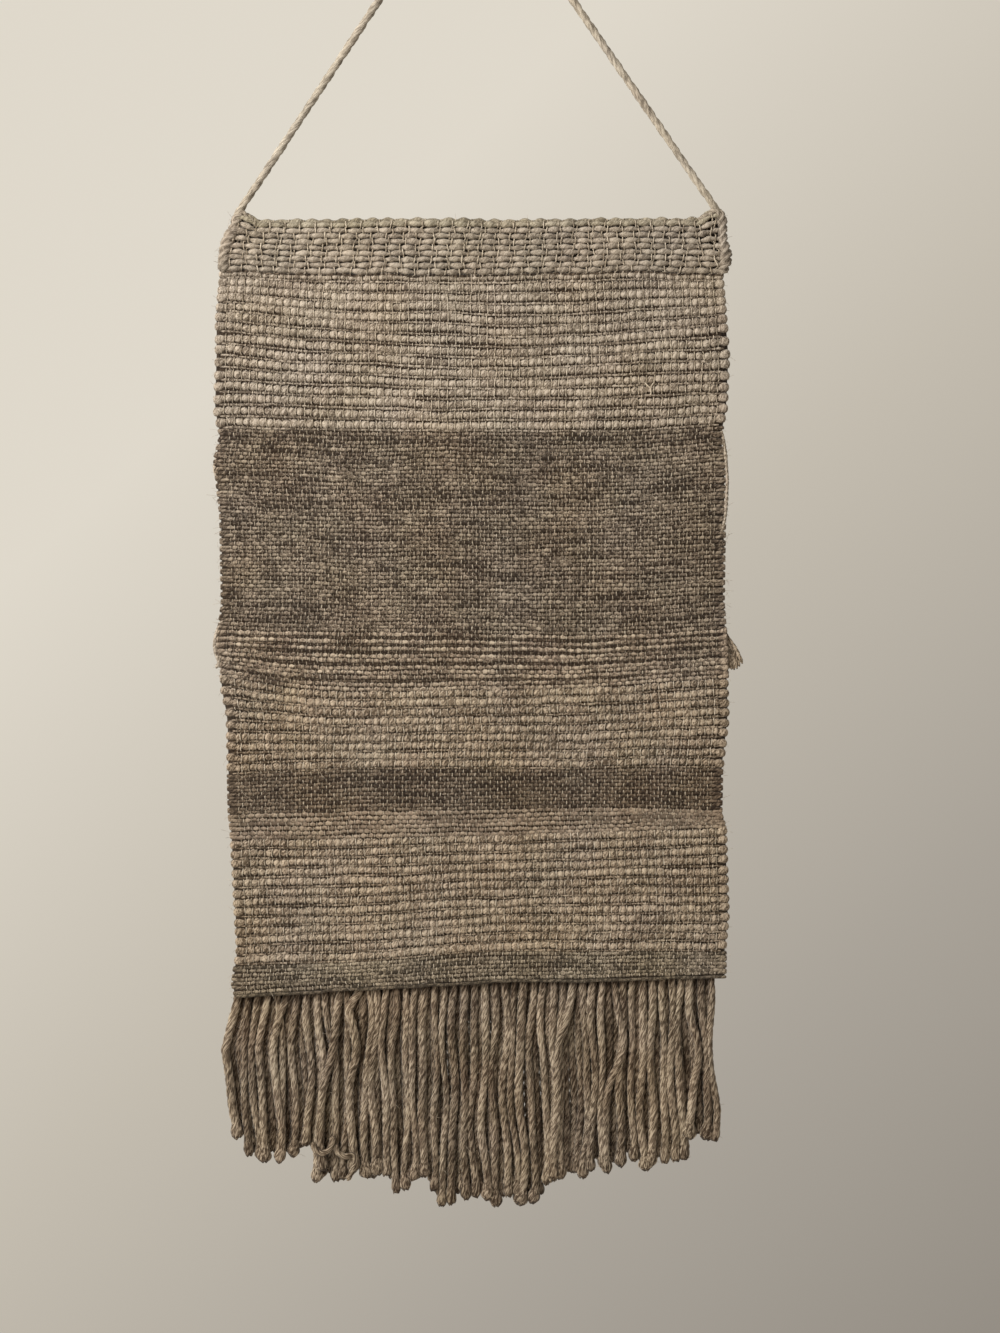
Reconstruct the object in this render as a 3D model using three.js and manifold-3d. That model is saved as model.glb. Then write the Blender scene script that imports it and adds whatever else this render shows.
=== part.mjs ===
// A hand-woven wall hanging. One cloth is woven in bands of thick and fine yarn, and its top is
// turned over to the front as a heading. A long fringe of plied yarn is sewn in behind its hem,
// and a plied cord between its two top corners holds it up.
// Sizes are millimetres. +Z is up and the front faces -Y. The origin is the place where the cord
// bears on what it hangs from, and every depth is measured straight down from there.

import * as THREE from "three";
import { mergeVertices } from "three/addons/utils/BufferGeometryUtils.js";
import Module from "manifold-3d";

const wasm = await Module();
wasm.setup();

// Clearance between separate pieces.
const GAP = 0.3;

// The weft lines of the cloth, from its turned top edge to its hem. Depth is taken on the middle
// line. left, midLeft, midRight and right say how far that row of weft rises above its middle at
// the four other stations of LIFT_STATIONS. thick is the cloth's thickness between its ribs, and
// forward is how far it stands in front of the cloth's own plane. ribs and rise are the thick
// rows between this line and the next and how far each face swells on one, and where there are
// none, steps is the number of plain divisions.
const LIFT_STATIONS = [0, 0.2, 0.5, 0.8, 1];
const WEFT_LINES = [
  { name: "top edge", depth: 239.7, left: -0.3, midLeft: -0.3, midRight: 0.4, right: 0.8,
    thick: 6.0, forward: 1.7, ribs: 9, rise: 0.45 },
  { name: "heading lip", depth: 277.6, left: 3.1, midLeft: 0.7, midRight: 1.4, right: 0.5,
    thick: 6.2, forward: 1.7, steps: 1 },
  { name: "seam", depth: 278.8, left: 3.1, midLeft: 0.7, midRight: 1.4, right: 0.5,
    thick: 2.8, forward: 0, ribs: 5, rise: 0.95 },
  { name: "deepest bow", depth: 318.1, left: 10.7, midLeft: 5.2, midRight: 1.7, right: 8.0,
    thick: 3.0, forward: 0, ribs: 4, rise: 0.95 },
  { name: "easing bow", depth: 347.1, left: 7.2, midLeft: 3.1, midRight: 1.4, right: 4.5,
    thick: 3.0, forward: 0, ribs: 5, rise: 0.95 },
  { name: "wide dark band", depth: 386.1, left: 2.1, midLeft: 0.3, midRight: -0.3, right: 3.1,
    thick: 2.6, forward: 0, steps: 6 },
  { name: "middle of the dark band", depth: 453.0, left: 2.1, midLeft: 0.7, midRight: 1.0, right: 4.1,
    thick: 2.6, forward: 0, steps: 5 },
  { name: "lined band", depth: 525.5, left: 2.8, midLeft: 1.7, midRight: 0, right: 2.1,
    thick: 2.6, forward: 0, steps: 5 },
  { name: "second thick band", depth: 564.4, left: 8.6, midLeft: -0.3, midRight: 3.1, right: 9.0,
    thick: 2.9, forward: 0, ribs: 9, rise: 0.85 },
  { name: "narrow dark band", depth: 618.6, left: -3.5, midLeft: -1.0, midRight: 0.7, right: 1.4,
    thick: 2.6, forward: 0, steps: 3 },
  { name: "fine light band", depth: 646.9, left: -2.8, midLeft: -1.7, midRight: 1.7, right: 0,
    thick: 2.6, forward: 0, steps: 2 },
  { name: "third thick band", depth: 665.5, left: -2.8, midLeft: -1.7, midRight: 3.1, right: 5.5,
    thick: 2.9, forward: 0, ribs: 13, rise: 0.8 },
  { name: "hem band", depth: 745.2, left: -9.3, midLeft: -7.2, midRight: 0.6, right: 0.6,
    thick: 2.7, forward: 0, steps: 2 },
  { name: "hem edge", depth: 767.1, left: -10.9, midLeft: -5.0, midRight: 2.2, right: 3.2,
    thick: 2.7, forward: 0 },
];

// The two selvedges: a row for each place where an edge bulges or draws in.
const EDGES = [
  { depth: 237.0, left: -167.0, right: 174.6 },
  { depth: 243.0, left: -167.2, right: 173.9 },
  { depth: 252.0, left: -173.2, right: 174.2 },
  { depth: 264.6, left: -176.0, right: 177.3 },
  { depth: 278.4, left: -176.6, right: 172.8 },
  { depth: 307.4, left: -179.4, right: 175.3 },
  { depth: 333.6, left: -179.4, right: 177.4 },
  { depth: 371.0, left: -180.4, right: 175.6 },
  { depth: 389.5, left: -176.3, right: 171.8 },
  { depth: 406.0, left: -180.4, right: 174.6 },
  { depth: 444.7, left: -176.3, right: 174.4 },
  { depth: 505.5, left: -175.3, right: 173.6 },
  { depth: 537.2, left: -179.7, right: 176.0 },
  { depth: 551.0, left: -175.7, right: 176.0 },
  { depth: 564.1, left: -175.9, right: 176.4 },
  { depth: 582.7, left: -171.8, right: 176.9 },
  { depth: 618.6, left: -171.1, right: 172.4 },
  { depth: 649.7, left: -170.4, right: 171.8 },
  { depth: 660.7, left: -169.2, right: 175.1 },
  { depth: 720.0, left: -166.3, right: 177.0 },
  { depth: 742.0, left: -164.9, right: 174.9 },
  { depth: 768.3, left: -168.4, right: 174.8 },
  { depth: 778.0, left: -165.4, right: 174.8 },
];

// The corners that the cord pulls up: the peak's place and rise, how far the outer edge rises,
// and where the pull ends on the inside.
const CORNERS = [
  { peakX: -161.0, rise: 7.0, edgeX: -167.0, edgeRise: 3.0, innerX: -149.5 },
  { peakX: 167.6, rise: 8.4, edgeX: 174.6, edgeRise: 2.6, innerX: 153.8 },
];
const CORNER_PULL_REACH = 22;

// Where the columns of the cloth's mesh stand across its width, closer at the two corners.
const COLUMNS = [
  0, 0.0176, 0.034, 0.055, 0.11, 0.18, 0.26, 0.34, 0.42, 0.5,
  0.58, 0.66, 0.74, 0.82, 0.89, 0.941, 0.962, 0.98, 1,
];
const SELVEDGE_THINNING = 0.42;
const SCALLOP_PER_RISE = 1.1;
const RIB_UNEVENNESS = 0.18;
const TOP_ROUNDING = 3.0;
const HEM_ROUNDING = 1.3;
const EDGE_THICKNESS_SHARE = 0.3;
const TOP_ROUNDING_STEPS = [0.15, 0.5];
const HEM_ROUNDING_STEPS = [0, 0.15, 0.5, 1];

// The cloth hangs nearly flat: two long shallow waves move it off its plane.
const WAVE = { across: 150, acrossHeight: 0.7, down: 230, downHeight: 0.6 };

// The fringe
const STRAND_WIDTH = 5.3;
const STRAND_DEPTH = 4.4;
const FRONT_STRANDS = 49;
const FRINGE_LEFT = -163.4;
const FRINGE_RIGHT = 164.2;
const STRIP_HEIGHT = 11;
const STRIP_ABOVE_HEM = 3;
const STRIP_OVERHANG = 2.4;
const STRIP_STATIONS = 13;
const STRIP_BACK_Y = 9.9;
const HEM_HALF_THICKNESS = 1.35;
const HEM_WAVE_ALLOWANCE = 0.2;
const ROOT_SHARE = 0.72;
const NECK_SHARE = 0.94;
const TIP_SHARE = 1.08;
const ROOT_IN_STRIP = 3.2;
const FALL_LENGTH = 40;
const RING_SHARES = [0, 0.07, 0.22, 0.42, 0.62, 0.82, 1];
const TIP_UNEVENNESS = { height: 3.5, channel: 3 };

// The two rows of strands. inset is in pitches, y is the row's place at its roots, fall is how far
// it comes forward below the hem, and shorter is how much less it hangs down.
const FRINGE_ROWS = [
  { first: 0, count: FRONT_STRANDS, inset: 0, y: 4.1, fall: 2.0, shorter: 0 },
  { first: FRONT_STRANDS, count: FRONT_STRANDS - 1, inset: 0.5, y: 7.9, fall: 1.2, shorter: 7 },
];

// The depth of the cut ends, by share of the fringe's width from the left.
const TIPS = [
  { share: 0, depth: 876 },
  { share: 0.04, depth: 889 },
  { share: 0.13, depth: 887 },
  { share: 0.17, depth: 906 },
  { share: 0.33, depth: 912 },
  { share: 0.47, depth: 921 },
  { share: 0.6, depth: 917 },
  { share: 0.68, depth: 903 },
  { share: 0.88, depth: 893 },
  { share: 1, depth: 876 },
];

// How the outermost strands swing, by drop below the strip, and how soon that dies away inward.
const EDGE_SWAY = [
  { drop: 0, left: 0, right: 0 },
  { drop: 12, left: -1.5, right: 0 },
  { drop: 38, left: -7.2, right: -0.5 },
  { drop: 62, left: -2.5, right: 0.3 },
  { drop: 94, left: 1.6, right: 3.6 },
  { drop: 120, left: 1.0, right: 2.2 },
];
const EDGE_SWAY_REACH = 14;
const COMMON_SWAY = { height: 1.1, across: 95, down: 150 };
const OWN_SWAY = { height: 0.3, down: 70, channel: 5 };

// The hanging cord. Its route runs from the left corner, over the hanging point, to the right.
const CORD_DIAMETER = 5;
const CORD_SIDES = 8;
const CORD_STEPS = 76;
const CORD_ROUTE = [
  [-160.8, -1.7, -232.6],
  [-150.3, -1.6, -216.9],
  [-130.0, -1.3, -185.9],
  [-105.0, -1.0, -148.0],
  [-80.0, -0.8, -110.1],
  [-55.0, -0.5, -72.2],
  [-30.0, -0.3, -34.3],
  [-15.0, -0.1, -11.5],
  [-9.1, 0, -2.5],
  [-6.6, 0, 0.2],
  [-3.4, 0, 1.9],
  [0.3, 0, 2.5],
  [3.9, 0, 1.9],
  [7.2, 0, 0.1],
  [9.5, 0, -2.4],
  [15.7, -0.1, -11.5],
  [31.3, -0.3, -34.3],
  [57.1, -0.5, -72.2],
  [83.0, -0.8, -110.1],
  [108.9, -1.0, -148.0],
  [134.8, -1.3, -185.9],
  [155.9, -1.6, -216.9],
  [165.6, -1.7, -231.1],
];

// The leftover tail of thick yarn behind the right selvedge.
const TAIL_WIDTH = 6.4;
const TAIL_SIDES = 6;
const TAIL_STEPS = 7;
const TAIL_ROUTE = [
  [171.0, 5.4, -526.0],
  [173.6, 5.4, -532.0],
  [177.0, 5.1, -538.5],
  [180.2, 4.5, -544.5],
  [182.4, 3.8, -549.6],
];

const COLOURS = { cloth: 0x96846c, fringe: 0x8f7c64, cord: 0xb3a48c, tail: 0xa39079 };

// A repeatable uneven value between -1 and 1.
function uneven(index, channel) {
  const wave = Math.sin(index * 12.9898 + channel * 78.233) * 43758.5453;
  return 2 * (wave - Math.floor(wave)) - 1;
}

// The values of some columns of a table at a position on its key column.
function lookUp(table, key, position, columns) {
  const positions = table.map((row) => row[key]);
  const values = table.flatMap((row) => columns.map((column) => row[column]));
  return new THREE.LinearInterpolant(positions, values, columns.length).evaluate(position);
}

// How far the cloth's middle plane stands off Y = 0.
function clothWave(x, depth) {
  const across = Math.sin((2 * Math.PI * x) / WAVE.across);
  const down = Math.sin((2 * Math.PI * depth) / WAVE.down);
  return WAVE.acrossHeight * across + WAVE.downHeight * down;
}

// How far a row rises above its own middle at a share u of the width.
function liftAt(lifts, u) {
  return new THREE.CubicInterpolant(LIFT_STATIONS, lifts, 1).evaluate(u)[0];
}

function liftsOf(line) {
  return [line.left, line.midLeft, 0, line.midRight, line.right];
}

// The pull of the cord on the two top corners.
function cornerPull(x, depthInCloth) {
  const fade = Math.max(0, 1 - depthInCloth / CORNER_PULL_REACH);
  let pull = 0;
  for (const corner of CORNERS) {
    const outward = Math.sign(corner.edgeX);
    const beyondPeak = (x - corner.peakX) * outward;
    if (beyondPeak >= 0) {
      const share = Math.min(1, beyondPeak / Math.abs(corner.edgeX - corner.peakX));
      pull += THREE.MathUtils.lerp(corner.rise, corner.edgeRise, share);
    } else {
      const share = Math.min(1, -beyondPeak / Math.abs(corner.peakX - corner.innerX));
      pull += corner.rise * (1 - share);
    }
  }
  return pull * fade;
}

// One row of the cloth's mesh, at a share between two weft lines.
function rowBetween(line, next, share, rise) {
  const mix = (key) => THREE.MathUtils.lerp(line[key], next[key], share);
  const lifts = liftsOf(line).map((lift, k) => THREE.MathUtils.lerp(lift, liftsOf(next)[k], share));
  return { depth: mix("depth"), thick: mix("thick"), forward: mix("forward"), lifts, rise };
}

// All rows, from the top edge to the hem: a groove and a crest for each rib.
function clothRows() {
  const rows = [];
  WEFT_LINES.slice(0, -1).forEach((line, index) => {
    const next = WEFT_LINES[index + 1];
    const count = line.ribs ? 2 * line.ribs : line.steps;
    for (let k = 0; k < count; k += 1) {
      const onCrest = Boolean(line.ribs) && k % 2 === 1;
      const swell = 1 + RIB_UNEVENNESS * uneven(index, k);
      rows.push(rowBetween(line, next, k / count, onCrest ? line.rise * swell : 0));
    }
  });
  const [first, second] = WEFT_LINES;
  const last = WEFT_LINES.at(-1);
  const beforeLast = WEFT_LINES.at(-2);
  const headingHeight = second.depth - first.depth;
  const hemHeight = last.depth - beforeLast.depth;
  for (const step of TOP_ROUNDING_STEPS) {
    rows.push(rowBetween(first, second, (step * TOP_ROUNDING) / headingHeight, 0));
  }
  for (const step of HEM_ROUNDING_STEPS) {
    rows.push(rowBetween(last, beforeLast, (step * HEM_ROUNDING) / hemHeight, 0));
  }
  return rows.sort((a, b) => a.depth - b.depth);
}

// The share of the full thickness at a distance from a rounded edge.
function rounding(distance, radius) {
  const inward = Math.min(1, distance / radius);
  return Math.max(EDGE_THICKNESS_SHARE, Math.sqrt(1 - (1 - inward) ** 2));
}

// A point on the front (side -1) or back (side 1) face of the cloth.
function clothPoint(row, u, side) {
  const topDepth = WEFT_LINES[0].depth;
  const hemDepth = WEFT_LINES.at(-1).depth;
  const [left] = lookUp(EDGES, "depth", row.depth - row.lifts[0], ["left"]);
  const [right] = lookUp(EDGES, "depth", row.depth - row.lifts[4], ["right"]);
  const scallop = row.rise * SCALLOP_PER_RISE;
  const x = THREE.MathUtils.lerp(left - scallop, right + scallop, u);
  const z = -row.depth + liftAt(row.lifts, u) + cornerPull(x, row.depth - topDepth);
  const atSelvedge = u === 0 || u === 1;
  const thinning = atSelvedge ? SELVEDGE_THINNING : 1;
  const topShare = rounding(row.depth - topDepth, TOP_ROUNDING);
  const hemShare = rounding(hemDepth - row.depth, HEM_ROUNDING);
  const half = (row.thick / 2 + row.rise) * thinning * topShare * hemShare;
  return new THREE.Vector3(x, clothWave(x, -z) - row.forward + side * half, z);
}

// A closed solid through a list of rings that have the same even number of points. Its two ends
// are closed by a ladder between point k and point n - 1 - k of the ring.
function loft(rings) {
  const n = rings[0].length;
  const positions = rings.flat().flatMap((point) => point.toArray());
  const triangles = [];
  const quad = (a, b, c, d) => triangles.push(a, b, c, a, c, d);
  for (let r = 0; r + 1 < rings.length; r += 1) {
    for (let k = 0; k < n; k += 1) {
      const next = (k + 1) % n;
      quad(r * n + k, (r + 1) * n + k, (r + 1) * n + next, r * n + next);
    }
  }
  const lastRing = (rings.length - 1) * n;
  for (let k = 0; k + 1 < n / 2; k += 1) {
    quad(k, k + 1, n - 2 - k, n - 1 - k);
    quad(lastRing + k, lastRing + n - 1 - k, lastRing + n - 2 - k, lastRing + k + 1);
  }
  const geometry = new THREE.BufferGeometry();
  geometry.setAttribute("position", new THREE.Float32BufferAttribute(positions, 3));
  geometry.setIndex(triangles);
  return geometry;
}

// The cloth as one sheet: a ring for each row, along its front and back again.
function clothGeometry() {
  const rings = clothRows().map((row) => {
    const front = COLUMNS.map((u) => clothPoint(row, u, -1));
    const back = COLUMNS.map((u) => clothPoint(row, u, 1)).reverse();
    return [...front, ...back];
  });
  return loft(rings);
}

// The depth of the hem's lower edge at x.
function hemDepthAt(x) {
  const hem = WEFT_LINES.at(-1);
  const [left] = lookUp(EDGES, "depth", hem.depth - hem.left, ["left"]);
  const [right] = lookUp(EDGES, "depth", hem.depth - hem.right, ["right"]);
  return hem.depth - liftAt(liftsOf(hem), (x - left) / (right - left));
}

// How far a strand has swung sideways at a drop below the strip.
function sway(rootX, drop, strand) {
  const edge = lookUp(EDGE_SWAY, "drop", drop, ["left", "right"]);
  const settled = Math.min(1, drop / FALL_LENGTH);
  const phase = (2 * Math.PI * rootX) / COMMON_SWAY.across;
  const common = COMMON_SWAY.height * Math.sin(phase + (2 * Math.PI * drop) / COMMON_SWAY.down);
  const ownPhase = Math.PI * uneven(strand, OWN_SWAY.channel);
  const own = OWN_SWAY.height * Math.sin((2 * Math.PI * drop) / OWN_SWAY.down + ownPhase);
  const leftShare = Math.exp((FRINGE_LEFT - rootX) / EDGE_SWAY_REACH);
  const rightShare = Math.exp((rootX - FRINGE_RIGHT) / EDGE_SWAY_REACH);
  return edge[0] * leftShare + edge[1] * rightShare + settled * (common + own);
}

// One four-sided strand of a row, from its root in the strip to its cut end.
function strandGeometry(row, index) {
  const strand = row.first + index;
  const inset = row.inset * ((FRINGE_RIGHT - FRINGE_LEFT) / (FRONT_STRANDS - 1));
  const along = index / (row.count - 1);
  const rootX = THREE.MathUtils.lerp(FRINGE_LEFT + inset, FRINGE_RIGHT - inset, along);
  const share = (rootX - FRINGE_LEFT) / (FRINGE_RIGHT - FRINGE_LEFT);
  const [fullDepth] = lookUp(TIPS, "share", share, ["depth"]);
  const cut = TIP_UNEVENNESS.height * uneven(strand, TIP_UNEVENNESS.channel);
  const tipDepth = fullDepth - row.shorter + cut;
  const rootDepth = hemDepthAt(rootX) - STRIP_ABOVE_HEM - ROOT_IN_STRIP;
  const rings = RING_SHARES.map((ring) => {
    const depth = THREE.MathUtils.lerp(rootDepth, tipDepth, ring);
    const drop = Math.max(0, depth - rootDepth - ROOT_IN_STRIP);
    const x = rootX + sway(rootX, drop, strand);
    const belowHem = Math.max(0, drop - STRIP_ABOVE_HEM);
    const fall = row.fall * Math.min(1, belowHem / FALL_LENGTH);
    const y = clothWave(rootX, rootDepth) + row.y - fall;
    const size = ring === 0 ? ROOT_SHARE : THREE.MathUtils.lerp(NECK_SHARE, TIP_SHARE, ring);
    const halfWidth = (STRAND_WIDTH / 2) * size;
    const halfDepth = (STRAND_DEPTH / 2) * size;
    return [
      new THREE.Vector3(x, y - halfDepth, -depth),
      new THREE.Vector3(x + halfWidth, y, -depth),
      new THREE.Vector3(x, y + halfDepth, -depth),
      new THREE.Vector3(x - halfWidth, y, -depth),
    ];
  });
  return loft(rings);
}

// The strip behind the hem that the roots are sewn to.
function stripGeometry() {
  const rings = [];
  for (let k = 0; k < STRIP_STATIONS; k += 1) {
    const share = k / (STRIP_STATIONS - 1);
    const x = THREE.MathUtils.lerp(FRINGE_LEFT - STRIP_OVERHANG, FRINGE_RIGHT + STRIP_OVERHANG, share);
    const low = hemDepthAt(x) - STRIP_ABOVE_HEM;
    const wave = clothWave(x, low);
    const front = wave + HEM_HALF_THICKNESS + HEM_WAVE_ALLOWANCE + GAP;
    rings.push([
      new THREE.Vector3(x, front, -low),
      new THREE.Vector3(x, front, -low + STRIP_HEIGHT),
      new THREE.Vector3(x, wave + STRIP_BACK_Y, -low + STRIP_HEIGHT),
      new THREE.Vector3(x, wave + STRIP_BACK_Y, -low),
    ]);
  }
  return loft(rings);
}

// A closed mesh as a solid that can be joined or cut.
function toSolid(geometry) {
  const bare = geometry.clone();
  bare.deleteAttribute("normal");
  bare.deleteAttribute("uv");
  const merged = mergeVertices(bare, 1e-4);
  const mesh = new wasm.Mesh({
    numProp: 3,
    vertProperties: new Float32Array(merged.attributes.position.array),
    triVerts: new Uint32Array(merged.index.array),
  });
  return new wasm.Manifold(mesh);
}

function fromSolid(solid) {
  const mesh = solid.getMesh();
  const geometry = new THREE.BufferGeometry();
  geometry.setAttribute("position", new THREE.BufferAttribute(mesh.vertProperties, 3));
  geometry.setIndex(new THREE.BufferAttribute(mesh.triVerts, 1));
  return geometry;
}

// The strip with every strand's root joined to it.
function fringeGeometry() {
  let solid = toSolid(stripGeometry());
  for (const row of FRINGE_ROWS) {
    for (let index = 0; index < row.count; index += 1) {
      solid = solid.add(toSolid(strandGeometry(row, index)));
    }
  }
  return fromSolid(solid);
}

// A plain round yarn along a route.
function yarnGeometry(route, diameter, sides, steps) {
  const section = new THREE.Shape();
  for (let k = 0; k < sides; k += 1) {
    const angle = (2 * Math.PI * (k + 0.5)) / sides;
    const x = (diameter / 2) * Math.cos(angle);
    const y = (diameter / 2) * Math.sin(angle);
    if (k === 0) section.moveTo(x, y);
    else section.lineTo(x, y);
  }
  section.closePath();
  const path = new THREE.CatmullRomCurve3(route.map((point) => new THREE.Vector3(...point)));
  return new THREE.ExtrudeGeometry(section, { steps, extrudePath: path, bevelEnabled: false });
}

// A sub-part as a named mesh with its own material.
function subPart(name, geometry, colour) {
  geometry.computeVertexNormals();
  const material = new THREE.MeshStandardMaterial({ color: colour, roughness: 0.95, metalness: 0 });
  const mesh = new THREE.Mesh(geometry, material);
  mesh.name = name;
  return mesh;
}

const hanging = new THREE.Group();
hanging.add(
  subPart("woven_panel", clothGeometry(), COLOURS.cloth),
  subPart("fringe", fringeGeometry(), COLOURS.fringe),
  subPart("hanging_cord", yarnGeometry(CORD_ROUTE, CORD_DIAMETER, CORD_SIDES, CORD_STEPS), COLOURS.cord),
  subPart("loose_yarn_tail", yarnGeometry(TAIL_ROUTE, TAIL_WIDTH, TAIL_SIDES, TAIL_STEPS), COLOURS.tail),
);

export default hanging;
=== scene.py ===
import math

import bpy
import numpy as np
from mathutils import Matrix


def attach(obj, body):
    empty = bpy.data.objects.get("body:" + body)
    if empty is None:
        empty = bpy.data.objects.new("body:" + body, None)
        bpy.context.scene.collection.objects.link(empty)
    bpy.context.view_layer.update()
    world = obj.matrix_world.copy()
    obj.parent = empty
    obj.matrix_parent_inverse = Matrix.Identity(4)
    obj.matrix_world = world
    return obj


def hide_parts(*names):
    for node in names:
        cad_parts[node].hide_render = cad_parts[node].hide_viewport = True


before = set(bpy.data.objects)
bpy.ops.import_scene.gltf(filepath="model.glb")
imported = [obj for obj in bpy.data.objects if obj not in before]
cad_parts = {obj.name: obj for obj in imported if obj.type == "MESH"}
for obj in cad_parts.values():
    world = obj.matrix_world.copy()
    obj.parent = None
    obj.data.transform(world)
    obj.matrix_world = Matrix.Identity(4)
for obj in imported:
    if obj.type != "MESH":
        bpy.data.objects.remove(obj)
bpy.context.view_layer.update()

# A hand-woven wall hanging, dressed yarn by yarn. Every weft and warp yarn of the cloth is a tube
# on the cloth's own surface, and the fringe's strands and the hanging cord are plied yarns.
# Sizes are millimetres in the row's frame until a mesh is made. +Z is up and the front faces -Y.
MM = 0.001
TAU = 2 * math.pi
bpy.context.scene.view_settings.view_transform = "Standard"

# The weft lines of the cloth: depth on the middle line, and how far the row rises above it at the
# five stations across the width.
LIFT_STATIONS = np.array([0.0, 0.2, 0.5, 0.8, 1.0])
WEFT_LINES = np.array([
    (239.7, -0.3, -0.3, 0, 0.4, 0.8),     # top edge
    (278.8, 3.1, 0.7, 0, 1.4, 0.5),       # seam
    (318.1, 10.7, 5.2, 0, 1.7, 8),        # deepest bow of the upper band
    (347.1, 7.2, 3.1, 0, 1.4, 4.5),
    (386.1, 2.1, 0.3, 0, -0.3, 3.1),      # wide dark band
    (453, 2.1, 0.7, 0, 1, 4.1),
    (525.5, 2.8, 1.7, 0, 0, 2.1),         # lined band
    (564.4, 8.6, -0.3, 0, 3.1, 9),        # second thick band
    (618.6, -3.5, -1, 0, 0.7, 1.4),       # narrow dark band
    (646.9, -2.8, -1.7, 0, 1.7, 0),       # fine light band
    (665.5, -2.8, -1.7, 0, 3.1, 5.5),     # third thick band
    (745.2, -9.3, -7.2, 0, 0.6, 0.6),     # hem
    (767.1, -10.9, -5, 0, 2.2, 3.2),      # hem's edge
])
LINE_DEPTHS, LINE_LIFTS = WEFT_LINES[:, 0], WEFT_LINES[:, 1:]
TOP_DEPTH, HEM_DEPTH = LINE_DEPTHS[[0, -1]]

# The two selvedges: depth, left and right.
EDGES = np.array([
    (237, -167, 174.6), (243, -167.2, 173.9), (252, -173.2, 174.2), (264.6, -176, 177.3),
    (278.4, -176.6, 172.8), (307.4, -179.4, 175.3), (333.6, -179.4, 177.4), (371, -180.4, 175.6),
    (389.5, -176.3, 171.8), (406, -180.4, 174.6), (444.7, -176.3, 174.4), (505.5, -175.3, 173.6),
    (537.2, -179.7, 176), (551, -175.7, 176), (564.1, -175.9, 176.4), (582.7, -171.8, 176.9),
    (618.6, -171.1, 172.4), (649.7, -170.4, 171.8), (660.7, -169.2, 175.1), (720, -166.3, 177),
    (742, -164.9, 174.9), (768.3, -168.4, 174.8), (778, -165.4, 174.8),
])

# The corners that the cord pulls up. Each is highest at its peak and ends at inner.
CORNERS = [
    {"peak": -161, "rise": 7, "edge": -167, "edge_rise": 3, "inner": -149.5},
    {"peak": 167.6, "rise": 8.4, "edge": 174.6, "edge_rise": 2.6, "inner": 153.8},
]
CORNER_PULL_REACH = 22.0
WAVE_ACROSS = {"length": 150.0, "height": 0.7}
WAVE_DOWN = {"length": 230.0, "height": 0.6}


def lerp(a, b, share):
    return a + (b - a) * share


def smoothstep(share):
    return share * share * (3 - 2 * share)


def uneven(index, channel):
    """A repeatable uneven value between -1 and 1, the same as in the CAD model."""
    wave = math.sin(index * 12.9898 + channel * 78.233) * 43758.5453
    return 2 * (wave - math.floor(wave)) - 1


def field(seed, cells_across, cells_down, across, down):
    """A smooth random surface with values from -1 to 1, at shares across and down."""
    grid = np.random.default_rng(seed).uniform(-1, 1, (cells_down + 2, cells_across + 2))
    i = np.clip(across, 0, 1) * cells_across
    j = np.clip(down, 0, 1) * cells_down
    i0, j0 = np.floor(i).astype(int), np.floor(j).astype(int)
    s, t = smoothstep(i - i0), smoothstep(j - j0)
    upper = lerp(grid[j0, i0], grid[j0, i0 + 1], s)
    lower = lerp(grid[j0 + 1, i0], grid[j0 + 1, i0 + 1], s)
    return lerp(upper, lower, t)


def through(stations, values, at):
    """A smooth curve through values at stations. values has the stations on its last axis."""
    slopes = np.gradient(values, stations, axis=-1)
    k = np.clip(np.searchsorted(stations, at, side="right") - 1, 0, len(stations) - 2)
    width = stations[k + 1] - stations[k]
    t = (at - stations[k]) / width
    start, end = values[..., k], values[..., k + 1]
    start_slope, end_slope = slopes[..., k] * width, slopes[..., k + 1] * width
    return (start * (2 * t**3 - 3 * t**2 + 1) + start_slope * (t**3 - 2 * t**2 + t)
            + end * (3 * t**2 - 2 * t**3) + end_slope * (t**3 - t**2))


def row_lift(depth, share):
    """How far rows at the depths rise above their middle at the shares: one row for each depth."""
    lifts = np.stack([np.interp(depth, LINE_DEPTHS, line) for line in LINE_LIFTS.T], axis=-1)
    return through(LIFT_STATIONS, lifts, share)


def selvedges(depth, lifts):
    """Where rows at the depths start and end, in a column for each."""
    left = np.interp(depth - lifts[..., 0], EDGES[:, 0], EDGES[:, 1])
    right = np.interp(depth - lifts[..., -1], EDGES[:, 0], EDGES[:, 2])
    return left[..., None], right[..., None]


def hem_depth_at(x):
    lifts = LINE_LIFTS[-1]
    left, right = selvedges(HEM_DEPTH, lifts)
    return HEM_DEPTH - through(LIFT_STATIONS, lifts, (x - left[0]) / (right[0] - left[0]))


def corner_pull(x, depth_in_cloth):
    """How far the cord pulls the cloth up."""
    pull = np.zeros_like(x)
    for corner in CORNERS:
        outward = math.copysign(1, corner["edge"])
        beyond = (x - corner["peak"]) * outward
        outer = np.clip(beyond / abs(corner["edge"] - corner["peak"]), 0, 1)
        inner = np.clip(-beyond / abs(corner["peak"] - corner["inner"]), 0, 1)
        on_outside = lerp(corner["rise"], corner["edge_rise"], outer)
        pull += np.where(beyond >= 0, on_outside, corner["rise"] * (1 - inner))
    return pull * np.clip(1 - depth_in_cloth / CORNER_PULL_REACH, 0, 1)


def cloth_wave(x, depth):
    """How far back the cloth hangs."""
    return (WAVE_ACROSS["height"] * np.sin(TAU * x / WAVE_ACROSS["length"])
            + WAVE_DOWN["height"] * np.sin(TAU * depth / WAVE_DOWN["length"]))


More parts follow.
